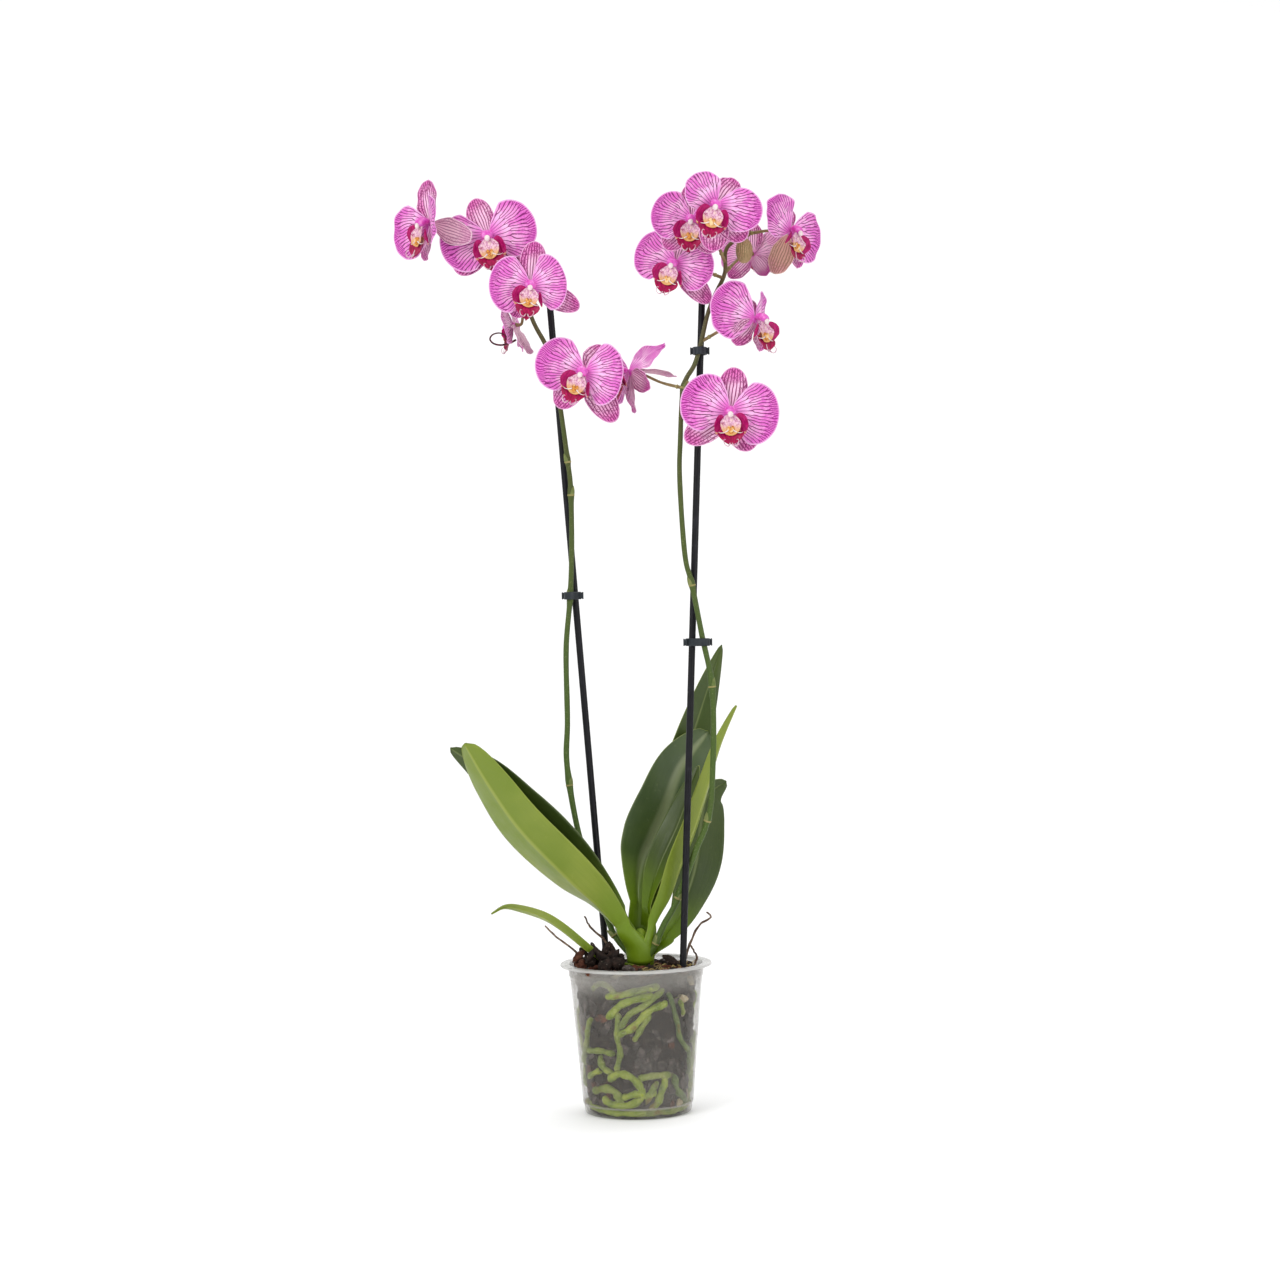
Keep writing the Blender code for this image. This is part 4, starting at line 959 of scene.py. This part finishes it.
def build_pot():
    """The clear pot, turned, with its drainage holes cut by a Boolean."""
    inner_step = STEP_RADIUS - POT_WALL
    inner_neck = NECK_RADIUS - POT_WALL
    flange_low = POT_HEIGHT - FLANGE_THICKNESS
    profile = rounded([
        (AXIS_HOLE, 0), (FOOT_RADIUS - 0.6 * MM, 0), (FOOT_RADIUS + 0.6 * MM, 1 * MM),
        (STEP_RADIUS - 0.9 * MM, STEP_HEIGHT - 1.5 * MM), (STEP_RADIUS, STEP_HEIGHT),
        (NECK_RADIUS, NECK_HEIGHT - 0.4 * MM), (NECK_RADIUS + 0.9 * MM, NECK_HEIGHT + 1.6 * MM),
        (NECK_RADIUS + 1.5 * MM, flange_low), (FLANGE_RADIUS, flange_low),
        (FLANGE_RADIUS, POT_HEIGHT - 0.8 * MM), (FLANGE_RADIUS - 0.6 * MM, POT_HEIGHT),
        (inner_neck + 1.3 * MM, POT_HEIGHT), (inner_neck + 0.9 * MM, NECK_HEIGHT + 2 * MM),
        (inner_neck, NECK_HEIGHT), (inner_step, STEP_HEIGHT),
        (inner_step - 0.4 * MM, STEP_HEIGHT - 1.5 * MM), (FOOT_RADIUS - POT_WALL, POT_FLOOR),
        (AXIS_HOLE, POT_FLOOR),
    ], POT_EDGE)
    shape = Shape()
    shape.closed(np.array([[(r * math.cos(t), r * math.sin(t), z) for t in turns(POT_SIDES)]
                           for r, z in profile]))
    pot = shape.settle("clear_pot", ["pot_plastic"], ["pot"], 40)
    holes = Shape()
    for angle in turns(DRAIN_COUNT):
        holes.tube([polar(angle, DRAIN_CIRCLE, z * MM) for z in (-3, 4)], DRAIN_RADIUS, 24)
    cutter = holes.plain_object("drains")
    cut = pot.modifiers.new("drains", "BOOLEAN")
    cut.operation = "DIFFERENCE"
    cut.object = cutter
    cut.solver = "EXACT"
    bpy.context.view_layer.update()
    graph = bpy.context.evaluated_depsgraph_get()
    mesh = bpy.data.meshes.new_from_object(pot.evaluated_get(graph))
    pot.modifiers.clear()
    pot.data = mesh
    bpy.data.objects.remove(cutter, do_unlink=True)


# Bark, roots and crown

def add_chip(shape, rng, centre, size, spin, mat):
    """One broken piece of bark: a flat block with a ragged outline."""
    corners = rng.randint(5, 7)
    low = []
    high = []
    for i in range(corners):
        angle = math.tau * (i + rng.uniform(-0.28, 0.28)) / corners
        reach = rng.uniform(0.75, 1.1)
        x = math.cos(angle) * reach * size[0] / 2
        y = math.sin(angle) * reach * size[1] / 2
        low.append((x * rng.uniform(0.8, 1), y * rng.uniform(0.8, 1), -size[2] / 2 * rng.uniform(0.6, 1.2)))
        high.append((x, y, size[2] / 2 * rng.uniform(0.5, 1.3)))
    shape.closed(np.array([low, high]) @ np.array(spin).T + np.array(centre), mat)


def add_flake(shape, rng, centre, size, spin, mat):
    """A torn flake of bark: a flat lens with a ragged outline and ridges along its grain."""
    outline = np.array([rng.uniform(0.7, 1.15) for _ in range(FLAKE_SIDES)])
    grain = rng.uniform(5, 11)
    shift = rng.uniform(0, math.tau)
    turn = turns(FLAKE_SIDES)
    rings = []
    for reach, high in FLAKE_ROWS:
        x = np.cos(turn) * reach * outline
        y = np.sin(turn) * reach * outline
        rough = np.array([rng.uniform(-0.25, 0.25) for _ in range(FLAKE_SIDES)])
        ridge = 1 + 0.3 * np.sin(grain * y + shift) + rough
        rings.append(np.stack([x, y, high * ridge], axis=1) * size / 2)
    shape.closed(np.array(rings) @ np.array(spin).T + np.array(centre), mat)


def add_core(shape, rng):
    """The dark mass inside the bark, a little uneven."""
    core = [(AXIS_HOLE, POT_FLOOR + 0.5 * MM), (FOOT_RADIUS - 4 * MM, POT_FLOOR + 0.5 * MM),
            (STEP_RADIUS - 6 * MM, STEP_HEIGHT + 1 * MM), (NECK_RADIUS - 7 * MM, NECK_HEIGHT - 4 * MM),
            (NECK_RADIUS - 12 * MM, BARK_TOP - 5 * MM), (AXIS_HOLE, BARK_TOP - 5 * MM)]
    profile = []
    for (r0, z0), (r1, z1) in zip(core, core[1:]):
        steps = max(int(math.hypot(r1 - r0, z1 - z0) / CORE_STEP), 1)
        profile += [(r0 + (r1 - r0) * i / steps, z0 + (z1 - z0) * i / steps) for i in range(steps)]
    rings = []
    for r, z in profile + [core[-1]]:
        ring = []
        for t in turns(CORE_SIDES):
            push = 1 + rng.uniform(-0.03, 0.03) if r > 1 * MM else 1
            ring.append((r * push * math.cos(t), r * push * math.sin(t), z + rng.uniform(-0.8, 0.8) * MM))
        rings.append(ring)
    shape.closed(np.array(rings))


def build_bark():
    """A dark core, chips that show through the wall and the heaped flakes on top."""
    shape = Shape()
    rng = random.Random(11)
    add_core(shape, rng)
    for _ in range(WALL_CHIPS):
        z = rng.uniform(6, 108) * MM
        angle = rng.uniform(0, math.tau)
        size = [rng.uniform(*span) * MM for span in CHIP_SIZES]
        radius = wall_radius(z) - POT_WALL - rng.uniform(4.4, 6.5) * MM
        spin = rotation((angle, "Z"), (math.pi / 2, "Y"), (rng.uniform(0, math.tau), "Z"),
                        (rng.uniform(-0.22, 0.22), "X"))
        mat = rng.choices(range(4), CHIP_TONES)[0]
        add_chip(shape, rng, polar(angle, radius, z), size, spin, mat)
    for _ in range(TOP_FLAKES):
        reach = (NECK_RADIUS - 7 * MM) * math.sqrt(rng.random())
        spot = polar(rng.uniform(0, math.tau), reach)
        if math.hypot(spot.x - CROWN_CENTRE.x, spot.y) < CROWN_ROOM:
            continue
        mound = MOUND_HEIGHT * max(0, -spot.x / MOUND_SPAN) * (1 if spot.y > MOUND_FRONT else 0.4)
        spot.z = BARK_TOP + rng.uniform(-4.5, -0.5) * MM + mound - 3.5 * MM * (reach / NECK_RADIUS) ** 4
        size = [rng.uniform(*span) * MM for span in FLAKE_SIZES]
        spin = rotation((rng.uniform(0, math.tau), "Z"), (rng.uniform(-0.6, 0.6), "X"),
                        (rng.uniform(-0.6, 0.6), "Y"))
        add_flake(shape, rng, spot, size, spin, rng.choices(range(4), FLAKE_TONES)[0])
    for centre, size, mat, tip in FEATURE_CHIPS:
        spin = rotation((tip, "Y"), (0.35, "X"))
        add_flake(shape, rng, Vector(centre) * MM, [s * MM for s in size], spin, mat)
    tones = ["bark_dark", "bark_grey", "bark_red", "bark_pale"]
    shape.settle("bark_chips", tones, ["bark_mix"], 25)

    straw = Shape()
    for _ in range(STRAWS):
        angle = rng.uniform(-1.4, 0.4)
        start = polar(angle, rng.uniform(22, 44) * MM, BARK_TOP - 1 * MM)
        run = scatter(rng, -0.1, 0.35) * 9 * MM
        bend = scatter(rng, 0, 1) * 3 * MM
        straw.tube(smooth_path([start, start + run / 2 + bend, start + run], 7), 0.3 * MM, 5)
    straw.settle("straw_strands", ["straw_moss"], None)


def bulge(seed, amount, scale):
    """A gentle unevenness for a tube's radius, as a function of turn and length."""
    rng = random.Random(seed)
    a, b, c, d = (rng.uniform(0, math.tau) for _ in range(4))

    def wobble(turn, length):
        at = length / scale
        return amount * (np.sin(turn + a) * math.sin(at + b)
                         + np.sin(2 * turn + c) * math.sin(1.7 * at + d))

    return wobble


def wall_root_path(radius, spots):
    """One fat root's points: out of the bark, along the pot's wall and back into the bark."""
    wall = []
    for degrees, height in spots:
        z = max(height * MM, radius + POT_FLOOR + 0.3 * MM)
        reach = wall_radius(max(z, STEP_HEIGHT)) - POT_WALL - radius - ROOT_SET_BACK
        if z < STEP_HEIGHT:
            reach -= 1.2 * MM
        wall.append(polar(math.radians(degrees - 90), reach, z))
    ends = []
    for tip, inner in ((wall[0], wall[1]), (wall[-1], wall[-2])):
        run = (tip - inner).normalized()
        inward = Vector((-tip.x, -tip.y, 0)).normalized()
        ends.append(tip + run * 2.2 * MM + inward * ROOT_DIP)
    return smooth_path([ends[0]] + wall + [ends[1]], 9 * (len(wall) + 2))


def build_roots():
    """The fat roots in the pot, the thin dry roots above the bark and the crown."""
    fat = Shape()
    for i, (radius, tone, spots) in enumerate(WALL_ROOTS):
        radius *= MM
        path = wall_root_path(radius, spots)
        k = np.arange(len(path))
        radii = radius * (1 + 0.11 * np.sin(0.5 * k + i) + 0.05 * np.sin(1.3 * k + 2 * i))
        radii[-3:] = radius * np.array((0.85, 0.6, 0.3))
        fat.tube(path, radii, 16, tone, wobble=bulge(i, 0.11, 4 * MM))
    fat.settle("fat_roots", ["root_skin", "root_dull", "root_dark"], ["crown_and_roots"])

    thin = Shape()
    rng = random.Random(5)
    for i, spots in enumerate(DRY_ROOTS):
        count = 12 * len(spots)
        path = [p + scatter(rng, -1, 1) * 0.25 * MM for p in smooth_path(mm(spots), count)]
        radii = DRY_ROOT_RADIUS * (1.25 - 0.6 * np.arange(count) / count)
        radii[-1] *= 0.3
        thin.tube(smooth_path(path[::3], count), radii, 8, wobble=bulge(i + 40, 0.12, 3 * MM))
    thin.settle("dry_roots", ["dry_root"], ["crown_and_roots"])

    def girth(rise, turn):
        ridge = 1 + 0.05 * np.sin(3 * turn + 2.2 * np.cos(rise)) + 0.02 * np.sin(9 * turn)
        return ridge * np.sin(rise)

    crown = Shape()
    crown.closed(ellipsoid(CROWN_CENTRE, CROWN_RADII, 26, 40, 0.02, 0.98, girth))
    crown.settle("crown", ["crown_skin"], ["crown_and_roots"])


# Leaves

def leaf_width(t):
    """Half the blade's breadth along a leaf, as a share of its widest."""
    if t < LEAF_WIDEST:
        return 0.24 + 0.76 * math.sin(math.pi / 2 * (t / LEAF_WIDEST)) ** 1.3
    return max(math.sqrt(max(1 - ((t - LEAF_WIDEST) / (1 - LEAF_WIDEST)) ** 2, 0)) ** 0.85, 0.02)


def build_leaf(name):
    """One leaf: a sheath that clasps the crown, then a thick blade folded along its midrib.

    Of three random draws for its margins two are used.
    """
    spine, width, across, fold = LEAVES[name]
    rows = 72
    cols = 25
    path = smooth_path(mm(spine), rows)
    rng = random.Random(name)
    waves = [rng.uniform(0, math.tau) for _ in range(3)]
    sense = -1 if name in TURNED_LEAVES else 1
    a = np.linspace(-1, 1, cols)
    ripple = np.where(a < 0, waves[0], waves[1])
    groove = -0.5 * MM * np.exp(-(a / 0.07) ** 2)
    uv = spread(rows, cols)
    points = []
    thick = []
    length = 0
    for k in range(rows):
        along = (path[min(k + 1, rows - 1)] - path[max(k - 1, 0)]).normalized()
        length += (path[k] - path[max(k - 1, 0)]).length
        flat = (Vector(across) - along * along.dot(Vector(across))).normalized()
        t = k / (rows - 1)
        narrow = 1 - LEAF_POINTS[name] * max((t - LEAF_WIDEST) / (1 - LEAF_WIDEST), 0) ** 1.6
        half = width * MM / 2 * leaf_width(t) * narrow
        rise = abs(a) ** 1.25 * half * (fold + 0.55 * (1 - t) ** 3)
        wave = 0.9 * MM * abs(a) ** 3 * np.sin(7 * t + ripple) * min(4 * t, 1)
        points.append(offset(path[k], (a * half * (1 - 0.2 * (1 - t) ** 3), flat),
                             (sense * (rise + wave + groove), flat.cross(along))))
        thin = 1 - 0.5 * max(t - 0.9, 0) / 0.1
        thick.append(LEAF_THICKNESS * (0.28 + 0.72 * (1 - abs(a) ** 2.5)) * thin)
        uv[k, :, 1] = length / UV_SPAN
    sheath = sheath_rows(name, points[SHEATH_JOIN], path, rng)
    points = np.array(sheath + points[SHEATH_JOIN:])
    uv = np.concatenate([np.repeat(uv[:1], len(sheath), axis=0), uv[SHEATH_JOIN:]])
    thick = np.array([thick[SHEATH_JOIN]] * len(sheath) + thick[SHEATH_JOIN:])
    if sense > 0:
        points, uv, thick = (data[:, ::-1] for data in (points, uv, thick))
    shape = Shape()
    shape.blade(points, thick, uv, (1, 0))
    shape.settle(name + "_blade", LEAF_LOOKS.get(name, PLAIN_LEAF), [name])


def sheath_rows(name, first, path, rng):
    """Rows below a leaf's first row that wrap round the crown."""
    cols = len(first)
    foot = path[0]
    run = path[SHEATH_JOIN * 2] - foot
    aim = math.atan2(run.y, run.x)
    low = max(foot.z - SHEATH_DROP, SHEATH_LOWEST)
    side = first[-1] - first[0]
    sense = 1 if side[0] * -math.sin(aim) + side[1] * math.cos(aim) > 0 else -1
    reach, half_turn = SHEATHS.get(name, PLAIN_SHEATH)
    reach *= rng.uniform(0.97, 1.03)
    turn = aim + sense * half_turn * np.linspace(-1, 1, cols)
    axis = np.array((CROWN_CENTRE.x, CROWN_CENTRE.y, 0))
    ring = offset(axis, (reach * np.cos(turn), (1, 0, 0)), (reach * np.sin(turn), (0, 1, 0)))
    rows = []
    for s in np.arange(SHEATH_ROWS) / SHEATH_ROWS:
        ease = max(s - 0.3, 0) / 0.7
        ease = ease * ease * (3 - 2 * ease)
        row = ring * (1 - ease) + first * ease
        out = (row - axis) * (1, 1, 0)
        row[:, 2] = low * (1 - s) + first[:, 2] * s
        swell = 1.2 * MM * math.sin(math.pi * s)
        rows.append(row + out / (np.linalg.norm(out, axis=1)[:, None] + 1e-9) * swell)
    return rows


# Blooms

def bloom_matrix(name):
    """Where a bloom sits and which way it faces: its own -Y is its front and +Z its top."""
    centre, yaw, pitch, roll, scale = BLOOMS[name][:5]
    turn = rotation((math.radians(yaw), "Z"), (math.radians(-pitch), "X"), (math.radians(roll), "Y"))
    return Matrix.Translation(Vector(centre) * MM) @ turn.to_4x4() @ Matrix.Scale(scale, 4)


def add_tepal(shape, grid, mats, rng, sizes, angle, tilt, start=(0, 0, 0), twist=0, ruffle=0.7, point=0,
              fan=False):
    """A petal-like blade: a disc drawn out to a length and width, cupped across and bent back.

    sizes are those four in mm, angle turns it round the bloom, tilt leans it forward, and point
    narrows it to its tip. The surface coordinates of a fan count lengths of UV_SPAN from its claw,
    and any other's run from 0 to 1. Of three random draws for its edge two are used.
    """
    length, width, cup, bend = (size * MM for size in sizes)
    turn = np.array(rotation((math.radians(angle), "Y"), (math.radians(tilt), "X"),
                             (math.radians(twist), "Z")))
    cols, rows = grid
    a, b = np.meshgrid(np.linspace(-1, 1, cols), np.linspace(-1, 1, rows))
    x = a * np.sqrt(1 - b * b / 2)
    y = b * np.sqrt(1 - a * a / 2)
    t = (y + 1) / 2
    edge = np.clip(np.sqrt(x * x + y * y), 0, 1)
    claw = 0.5 + 0.5 * np.minimum(t / 0.4, 1) ** 0.8
    across = x * width / 2 * claw * (1 - point * np.maximum(t - 0.45, 0) ** 1.5)
    share = 2 * across / width
    round_angle = np.arctan2(x, y)
    waves = [rng.uniform(0, math.tau) for _ in range(3)]
    wave = (np.sin(5 * round_angle + waves[0]) + 0.6 * np.sin(9 * round_angle + waves[1])) * edge ** 4
    wave *= np.clip(3 * t, 0, 1) * ruffle * MM
    crease = -0.5 * MM * np.exp(-(across / (1.2 * MM)) ** 2) * np.clip(1 - t, 0, 1)
    depth = -cup * share * share + bend * t * t + wave + crease
    points = np.stack([across, depth, length * t + TEPAL_START], axis=2) @ turn.T + np.array(start) * MM
    if fan:
        uv = np.stack([across / UV_SPAN + 0.5, length * t / UV_SPAN], axis=2)
    else:
        uv = np.stack([a * 0.5 + 0.5, t], axis=2)
    extra = np.stack([edge, np.full_like(edge, rng.random())], axis=2)
    shape.blade(points, TEPAL_THICKNESS * (1 - 0.65 * edge ** 3), uv, mats, extra)


def tuned(sizes, name, part, angle, tilt):
    """The sizes, angle and tilt of one tepal with what its bloom adds."""
    turn, lean, long, wide = TUNES.get(name, {}).get(part, PLAIN)
    return (sizes[0] * long, sizes[1] * wide, *sizes[2:]), angle + turn, tilt + lean


def build_bloom(name):
    """Three sepals and two petals round a hub."""
    rng = random.Random(name)
    shape = Shape()
    angles = (0, *LATERAL_ANGLES.get(name, LATERALS))
    seats = (DORSAL_SEATS.get(name, DORSAL_SEAT), *LATERAL_SEATS.get(name, (SEPAL_SEAT, SEPAL_SEAT)))
    for part, angle, (lean, twist, start) in zip(("dorsal", "low_left", "low_right"), angles, seats):
        mats = (3, 1) if (name, part) in TURNED_TEPALS else (1, 3)
        add_tepal(shape, (19, 25), mats, rng, *tuned(SEPAL, name, part, angle, lean), start, twist)
    tilts = PETAL_TILTS.get(name, PETAL_LEAN)
    for part, side, tilt in (("left", -1, tilts[0]), ("right", 1, tilts[1])):
        mats = (0, 0) if (name, part) in TURNED_TEPALS else (0, 2)
        add_tepal(shape, (29, 29), mats, rng, *tuned(PETAL, name, part, PETAL_ANGLE * side, tilt),
                  ruffle=1, point=POINTED.get((name, part), 0), fan=True)
    shape.ball(*HUB_BALL)
    shape.transform(bloom_matrix(name))
    backs = "sepal_back" if name == TAN_BLOOM else "sepal_back_pink"
    looks = ["petal_front", "sepal_front", "petal_back", backs, "column_pink"]
    shape.settle("bloom_" + name + "_tepals", looks, ["bloom_" + name])


def build_lip(name):
    """Hooded column with its cap, pale throat, crimson lobes, yellow callus and two tendrils."""
    rng = random.Random("lip" + name)
    shape = Shape()
    radii = 2.8 + 2 * np.sin(math.pi * 0.62 * np.arange(18) / 17)
    radii[-3:] = (4.5, 3.9, 2.8)
    shape.tube(smooth_path(mm(COLUMN), 18), radii * MM, 20, 2, squash=0.7)
    shape.ball(*CAP_BALL)
    add_tepal(shape, (21, 21), (5, 5), rng, (19, 16.5, 2.6, -1), 180, 8, (0, -9, -0.4), ruffle=0.4)
    long, point = MIDLOBES.get(name, (1, 1))
    add_tepal(shape, (25, 25), (0, 0), rng, (17.5 * long, 21.5, 3, -3), 180, 17, (0, -7.2, -10.4),
              ruffle=0.6, point=point)
    for side, wide in zip((-1, 1), LOBES.get(name, (1, 1))):
        sizes = (17.5 * min(1, 0.66 + 0.36 * wide), 11.5 * wide, 2.2, -1.5)
        start = ((11.4 - 1.6 * (wide - 1)) * side, -8.4, -19.2)
        add_tepal(shape, (17, 21), (6, 6), rng, sizes, -13 * side, 2, start, -20 * side, 0.3)
        shape.thread(mirrored(TENDRIL, side), 26, 0.55, 0.4, 8, 4)
        centre, radii, mat = SIDE_BALL
        shape.ball(mirrored([centre], side)[0], radii, mat)
        shape.thread(mirrored(STREAK, side), 12, 0.6, 0.3, 8, 3)
    shape.ball(*CALLUS_BALL)
    scale = BLOOMS[name][4]
    fit = (scale + 1) / (2 * scale) * SMALL_LIPS.get(name, 1)
    shape.transform(bloom_matrix(name) @ Matrix.Scale(fit, 4))
    if name == "l4":
        shape.thread(LOOSE_TENDRIL, 48, 0.9, 0.5, 10, 7)
    shape.settle("lip_" + name + "_parts", LIP_LOOKS, ["lip_" + name])


# Spikes, bud, stakes and clips

def stem_point(spike, height):
    """The point of a spike's stem nearest a height, looking from the foot up."""
    path = smooth_path(mm(SPIKES[spike][0]), 400)
    return min(path, key=lambda p: abs(p.z - height))


def add_stalk(shape, name, foot):
    """The stalk of one bloom, from the stem to the back of its hub, with a ring near its foot."""
    turn = bloom_matrix(name)
    end = turn @ Vector((0, HUB_BACK - 0.8 * MM, 0))
    reach = turn @ Vector((0, STALK_BACK, 0))
    via = mm(STALK_VIA[name]) if name in STALK_VIA else [foot.lerp(reach, 0.6) + Vector((0, 0, 2 * MM))]
    stalk = smooth_path([foot] + via + [reach, end], 34)
    t = np.linspace(0, 1, len(stalk))
    radii = PEDICEL_RADIUS * (1.15 - 0.3 * np.sin(math.pi * t) + 0.25 * t ** 4)
    shape.tube(stalk, radii, 12, 2, wobble=bulge(name, 0.05, 5 * MM))
    along = (stalk[4] - stalk[2]).normalized() * 1.1 * MM
    shape.tube([stalk[3] - along, stalk[3], stalk[3] + along],
               [PEDICEL_RADIUS * s for s in (1.1, 1.45, 1.1)], 12, 1)


def add_bract(shape, spot, along, radius, sense):
    """A short pointed sheath that hugs one side of a node."""
    side = along.cross(Vector((0, 1, 0))).normalized() * sense
    uv = spread(12, 11)
    share, t = uv[:, :, 0], uv[:, :, 1]
    angle = (1.7 * np.sqrt(np.maximum(1 - t ** 2.4, 0)) + 0.04) * (2 * share - 1)
    reach = radius - 0.35 * MM + 0.5 * MM * np.sin(math.pi * t)
    points = offset(spot, ((t * 8 - 1) * MM, along), (np.cos(angle) * reach, side),
                    (np.sin(angle) * reach, along.cross(side)))
    shape.blade(points, np.full(t.shape, 0.4 * MM), uv, (3, 3))


def build_spike(spike):
    """One flower spike: stem, nodes with their bracts, and the stalk of every bloom on it."""
    spots, nodes = SPIKES[spike]
    shape = Shape()
    count = 240
    path = smooth_path(mm(spots), count)
    radii = np.linspace(STEM_RADIUS_LOW, STEM_RADIUS_TOP, count)
    for share in nodes:
        radii += 0.7 * MM * np.exp(-((np.arange(count) - share * (count - 1)) / 1.6) ** 2)
    radii[-1] *= 0.5
    shape.tube(path, radii, 16, 0, wobble=bulge(spike, 0.03, 11 * MM))
    for i, share in enumerate(nodes):
        k = int(share * (count - 1))
        radius = radii[k]
        along = (path[k + 1] - path[k]).normalized()
        shape.tube([path[k] + along * s * MM for s in (-0.9, -0.3, 0.3, 0.9)],
                   [radius * 0.95, radius + 0.25 * MM, radius + 0.2 * MM, radius * 0.93], 18, 1)
        add_bract(shape, path[k], along, radius, (-1) ** i)
    for name, (*_, owner, height) in BLOOMS.items():
        if owner == spike:
            add_stalk(shape, name, stem_point(spike, height * MM))
    if spike == "spike_right":
        shape.tube(smooth_path(mm(BUD_STALK), 20), PEDICEL_RADIUS * 0.8, 10, 2)
        shape.ball(path[-1] / MM, TIP_RADII, 2)
    shape.settle(spike + "_stem", ["stem_skin", "node_ring", "pedicel_skin", "bract_skin"], [spike])


def build_bud():
    """The closed bud that hangs from the right spike: three keels drawn to a blunt point."""
    def girth(rise, turn):
        return (1 + 0.05 * np.cos(3 * turn) * np.sin(rise)) * np.sin(rise) ** 0.9

    rings = MM * ellipsoid(BUD_CENTRE, BUD_RADII, 30, 36, 0.03, 0.98, girth)
    shape = Shape()
    shape.closed(rings, 0, spread(30, 37) * (3, 1))
    shape.settle("bud_closed", ["bud_skin"], ["bud_right"])


def build_stakes():
    """Two straight rods with rounded tops."""
    shares = (0, 0.25, 0.5, 0.75, 0.985, 0.994, 0.998, 1)
    radii = [STAKE_RADIUS * s for s in (0.98, 1, 0.99, 1, 0.98, 0.93, 0.78, 0.35)]
    for name, ends in STAKES.items():
        foot, top = mm(ends)
        shape = Shape()
        shape.tube([foot + (top - foot) * s for s in shares], radii, 28)
        shape.settle(name + "_rod", ["stake_coating"], [name], 50)


def chamfered(low, high, bottom, top, edge):
    """Eight corners of a section with cut edges, from low to high and from bottom to top."""
    return [(low + edge, bottom), (high - edge, bottom), (high, bottom + edge), (high, top - edge),
            (high - edge, top), (low + edge, top), (low, top - edge), (low, bottom + edge)]


def build_clips():
    """Oval spring clips with a ridged finger tab at each end."""
    steps = 64
    tall = CLIP_HEIGHT / 2
    section = chamfered(0, CLIP_WALL, -tall, tall, CLIP_EDGE)
    for name, (spike, stake, height) in CLIPS.items():
        stem = stem_point(spike, height * MM)
        foot, top = mm(STAKES[stake])
        rod = foot + (top - foot) * ((height * MM - foot.z) / (top.z - foot.z))
        centre = (stem + rod) / 2
        turn = math.atan2(stem.y - rod.y, stem.x - rod.x)
        room = STAKE_RADIUS + CLIP_ROOM
        half = ((stem - rod).length / 2 + room, room)
        spin = np.array(rotation((turn, "Z")))
        rings = [[((half[0] + out) * math.cos(t), (half[1] + out) * math.sin(t), z) for out, z in section]
                 for t in (*turns(steps), 0)]
        shape = Shape()
        shape.grid(np.array(rings) @ spin.T + np.array(centre), closed=True, flip=True)
        reach = math.hypot(math.cos(turn) * (half[0] + CLIP_WALL), math.sin(turn) * (half[1] + CLIP_WALL))
        for side in (-1, 1):
            for k, big in enumerate((0.95, 0.82, 0.95)):
                x = centre.x + side * (reach + (k - 0.8) * MM)
                ring = chamfered(-1.7 * MM * big, 1.7 * MM * big, -tall * big, tall * big, 0.3 * MM)
                shape.closed(np.array([[(end, centre.y + y, centre.z + z) for y, z in ring]
                                       for end in (x - 0.55 * MM, x + 0.55 * MM)]))
        shape.settle(name + "_body", ["clip_plastic"], [name], 40)


# Studio

def build_studio():
    """Pale floor that sweeps up behind, soft lights and the photograph's camera."""
    scene = bpy.context.scene
    profile = [(-FLOOR_REACH, 0), (FLOOR_BACK, 0)]
    for a in np.linspace(0.1, math.pi / 2, 14):
        profile.append((FLOOR_BACK + FLOOR_SWEEP * math.sin(a), FLOOR_SWEEP - FLOOR_SWEEP * math.cos(a)))
    profile.append((FLOOR_BACK + FLOOR_SWEEP, FLOOR_TOP))
    shape = Shape()
    shape.grid(np.array([[(-FLOOR_REACH, y, z - FLOOR_DROP), (FLOOR_REACH, y, z - FLOOR_DROP)]
                         for y, z in profile]))
    floor = shape.plain_object("studio_floor")
    floor.data.shade_smooth()
    look = Look("floor_paint", 0.9)
    look.link((0.96, 0.96, 0.96, 1), look.shader.inputs["Base Color"])
    floor.data.materials.append(look.mat)

    world = bpy.data.worlds.new("studio")
    world.use_nodes = True
    world.node_tree.nodes["Background"].inputs[0].default_value = (1, 1, 1, 1)
    world.node_tree.nodes["Background"].inputs[1].default_value = WORLD_STRENGTH
    scene.world = world
    for name, (place, aim, size, power) in LIGHTS.items():
        lamp = bpy.data.lights.new(name, "AREA")
        lamp.size = size
        lamp.energy = power
        obj = link_object(name, lamp)
        obj.location = place
        obj.rotation_euler = (Vector(aim) - Vector(place)).to_track_quat("-Z", "Y").to_euler()

    lens = bpy.data.cameras.new("camera")
    lens.sensor_width = SENSOR
    lens.lens = SENSOR * FOCAL_PX / PICTURE
    lens.shift_x = CENTRE_SHIFT_PX[0] / PICTURE
    lens.shift_y = CENTRE_SHIFT_PX[1] / PICTURE
    down = math.atan(CAMERA_DOWN_PX / FOCAL_PX)
    aim = rotation((math.pi / 2 - down, "X"), (-CAMERA_ROLL, "Z"))
    camera = link_object("camera", lens)
    camera.matrix_world = Matrix.Translation(CAMERA_PLACE) @ aim.to_4x4()
    scene.camera = camera
    scene.view_settings.view_transform = "Standard"


def main():
    """Build every piece."""
    build_looks()
    build_studio()
    build_pot()
    build_bark()
    build_roots()
    for name in LEAVES:
        build_leaf(name)
    for spike in SPIKES:
        build_spike(spike)
    build_bud()
    build_stakes()
    build_clips()
    for name in BLOOMS:
        build_bloom(name)
        build_lip(name)


main()
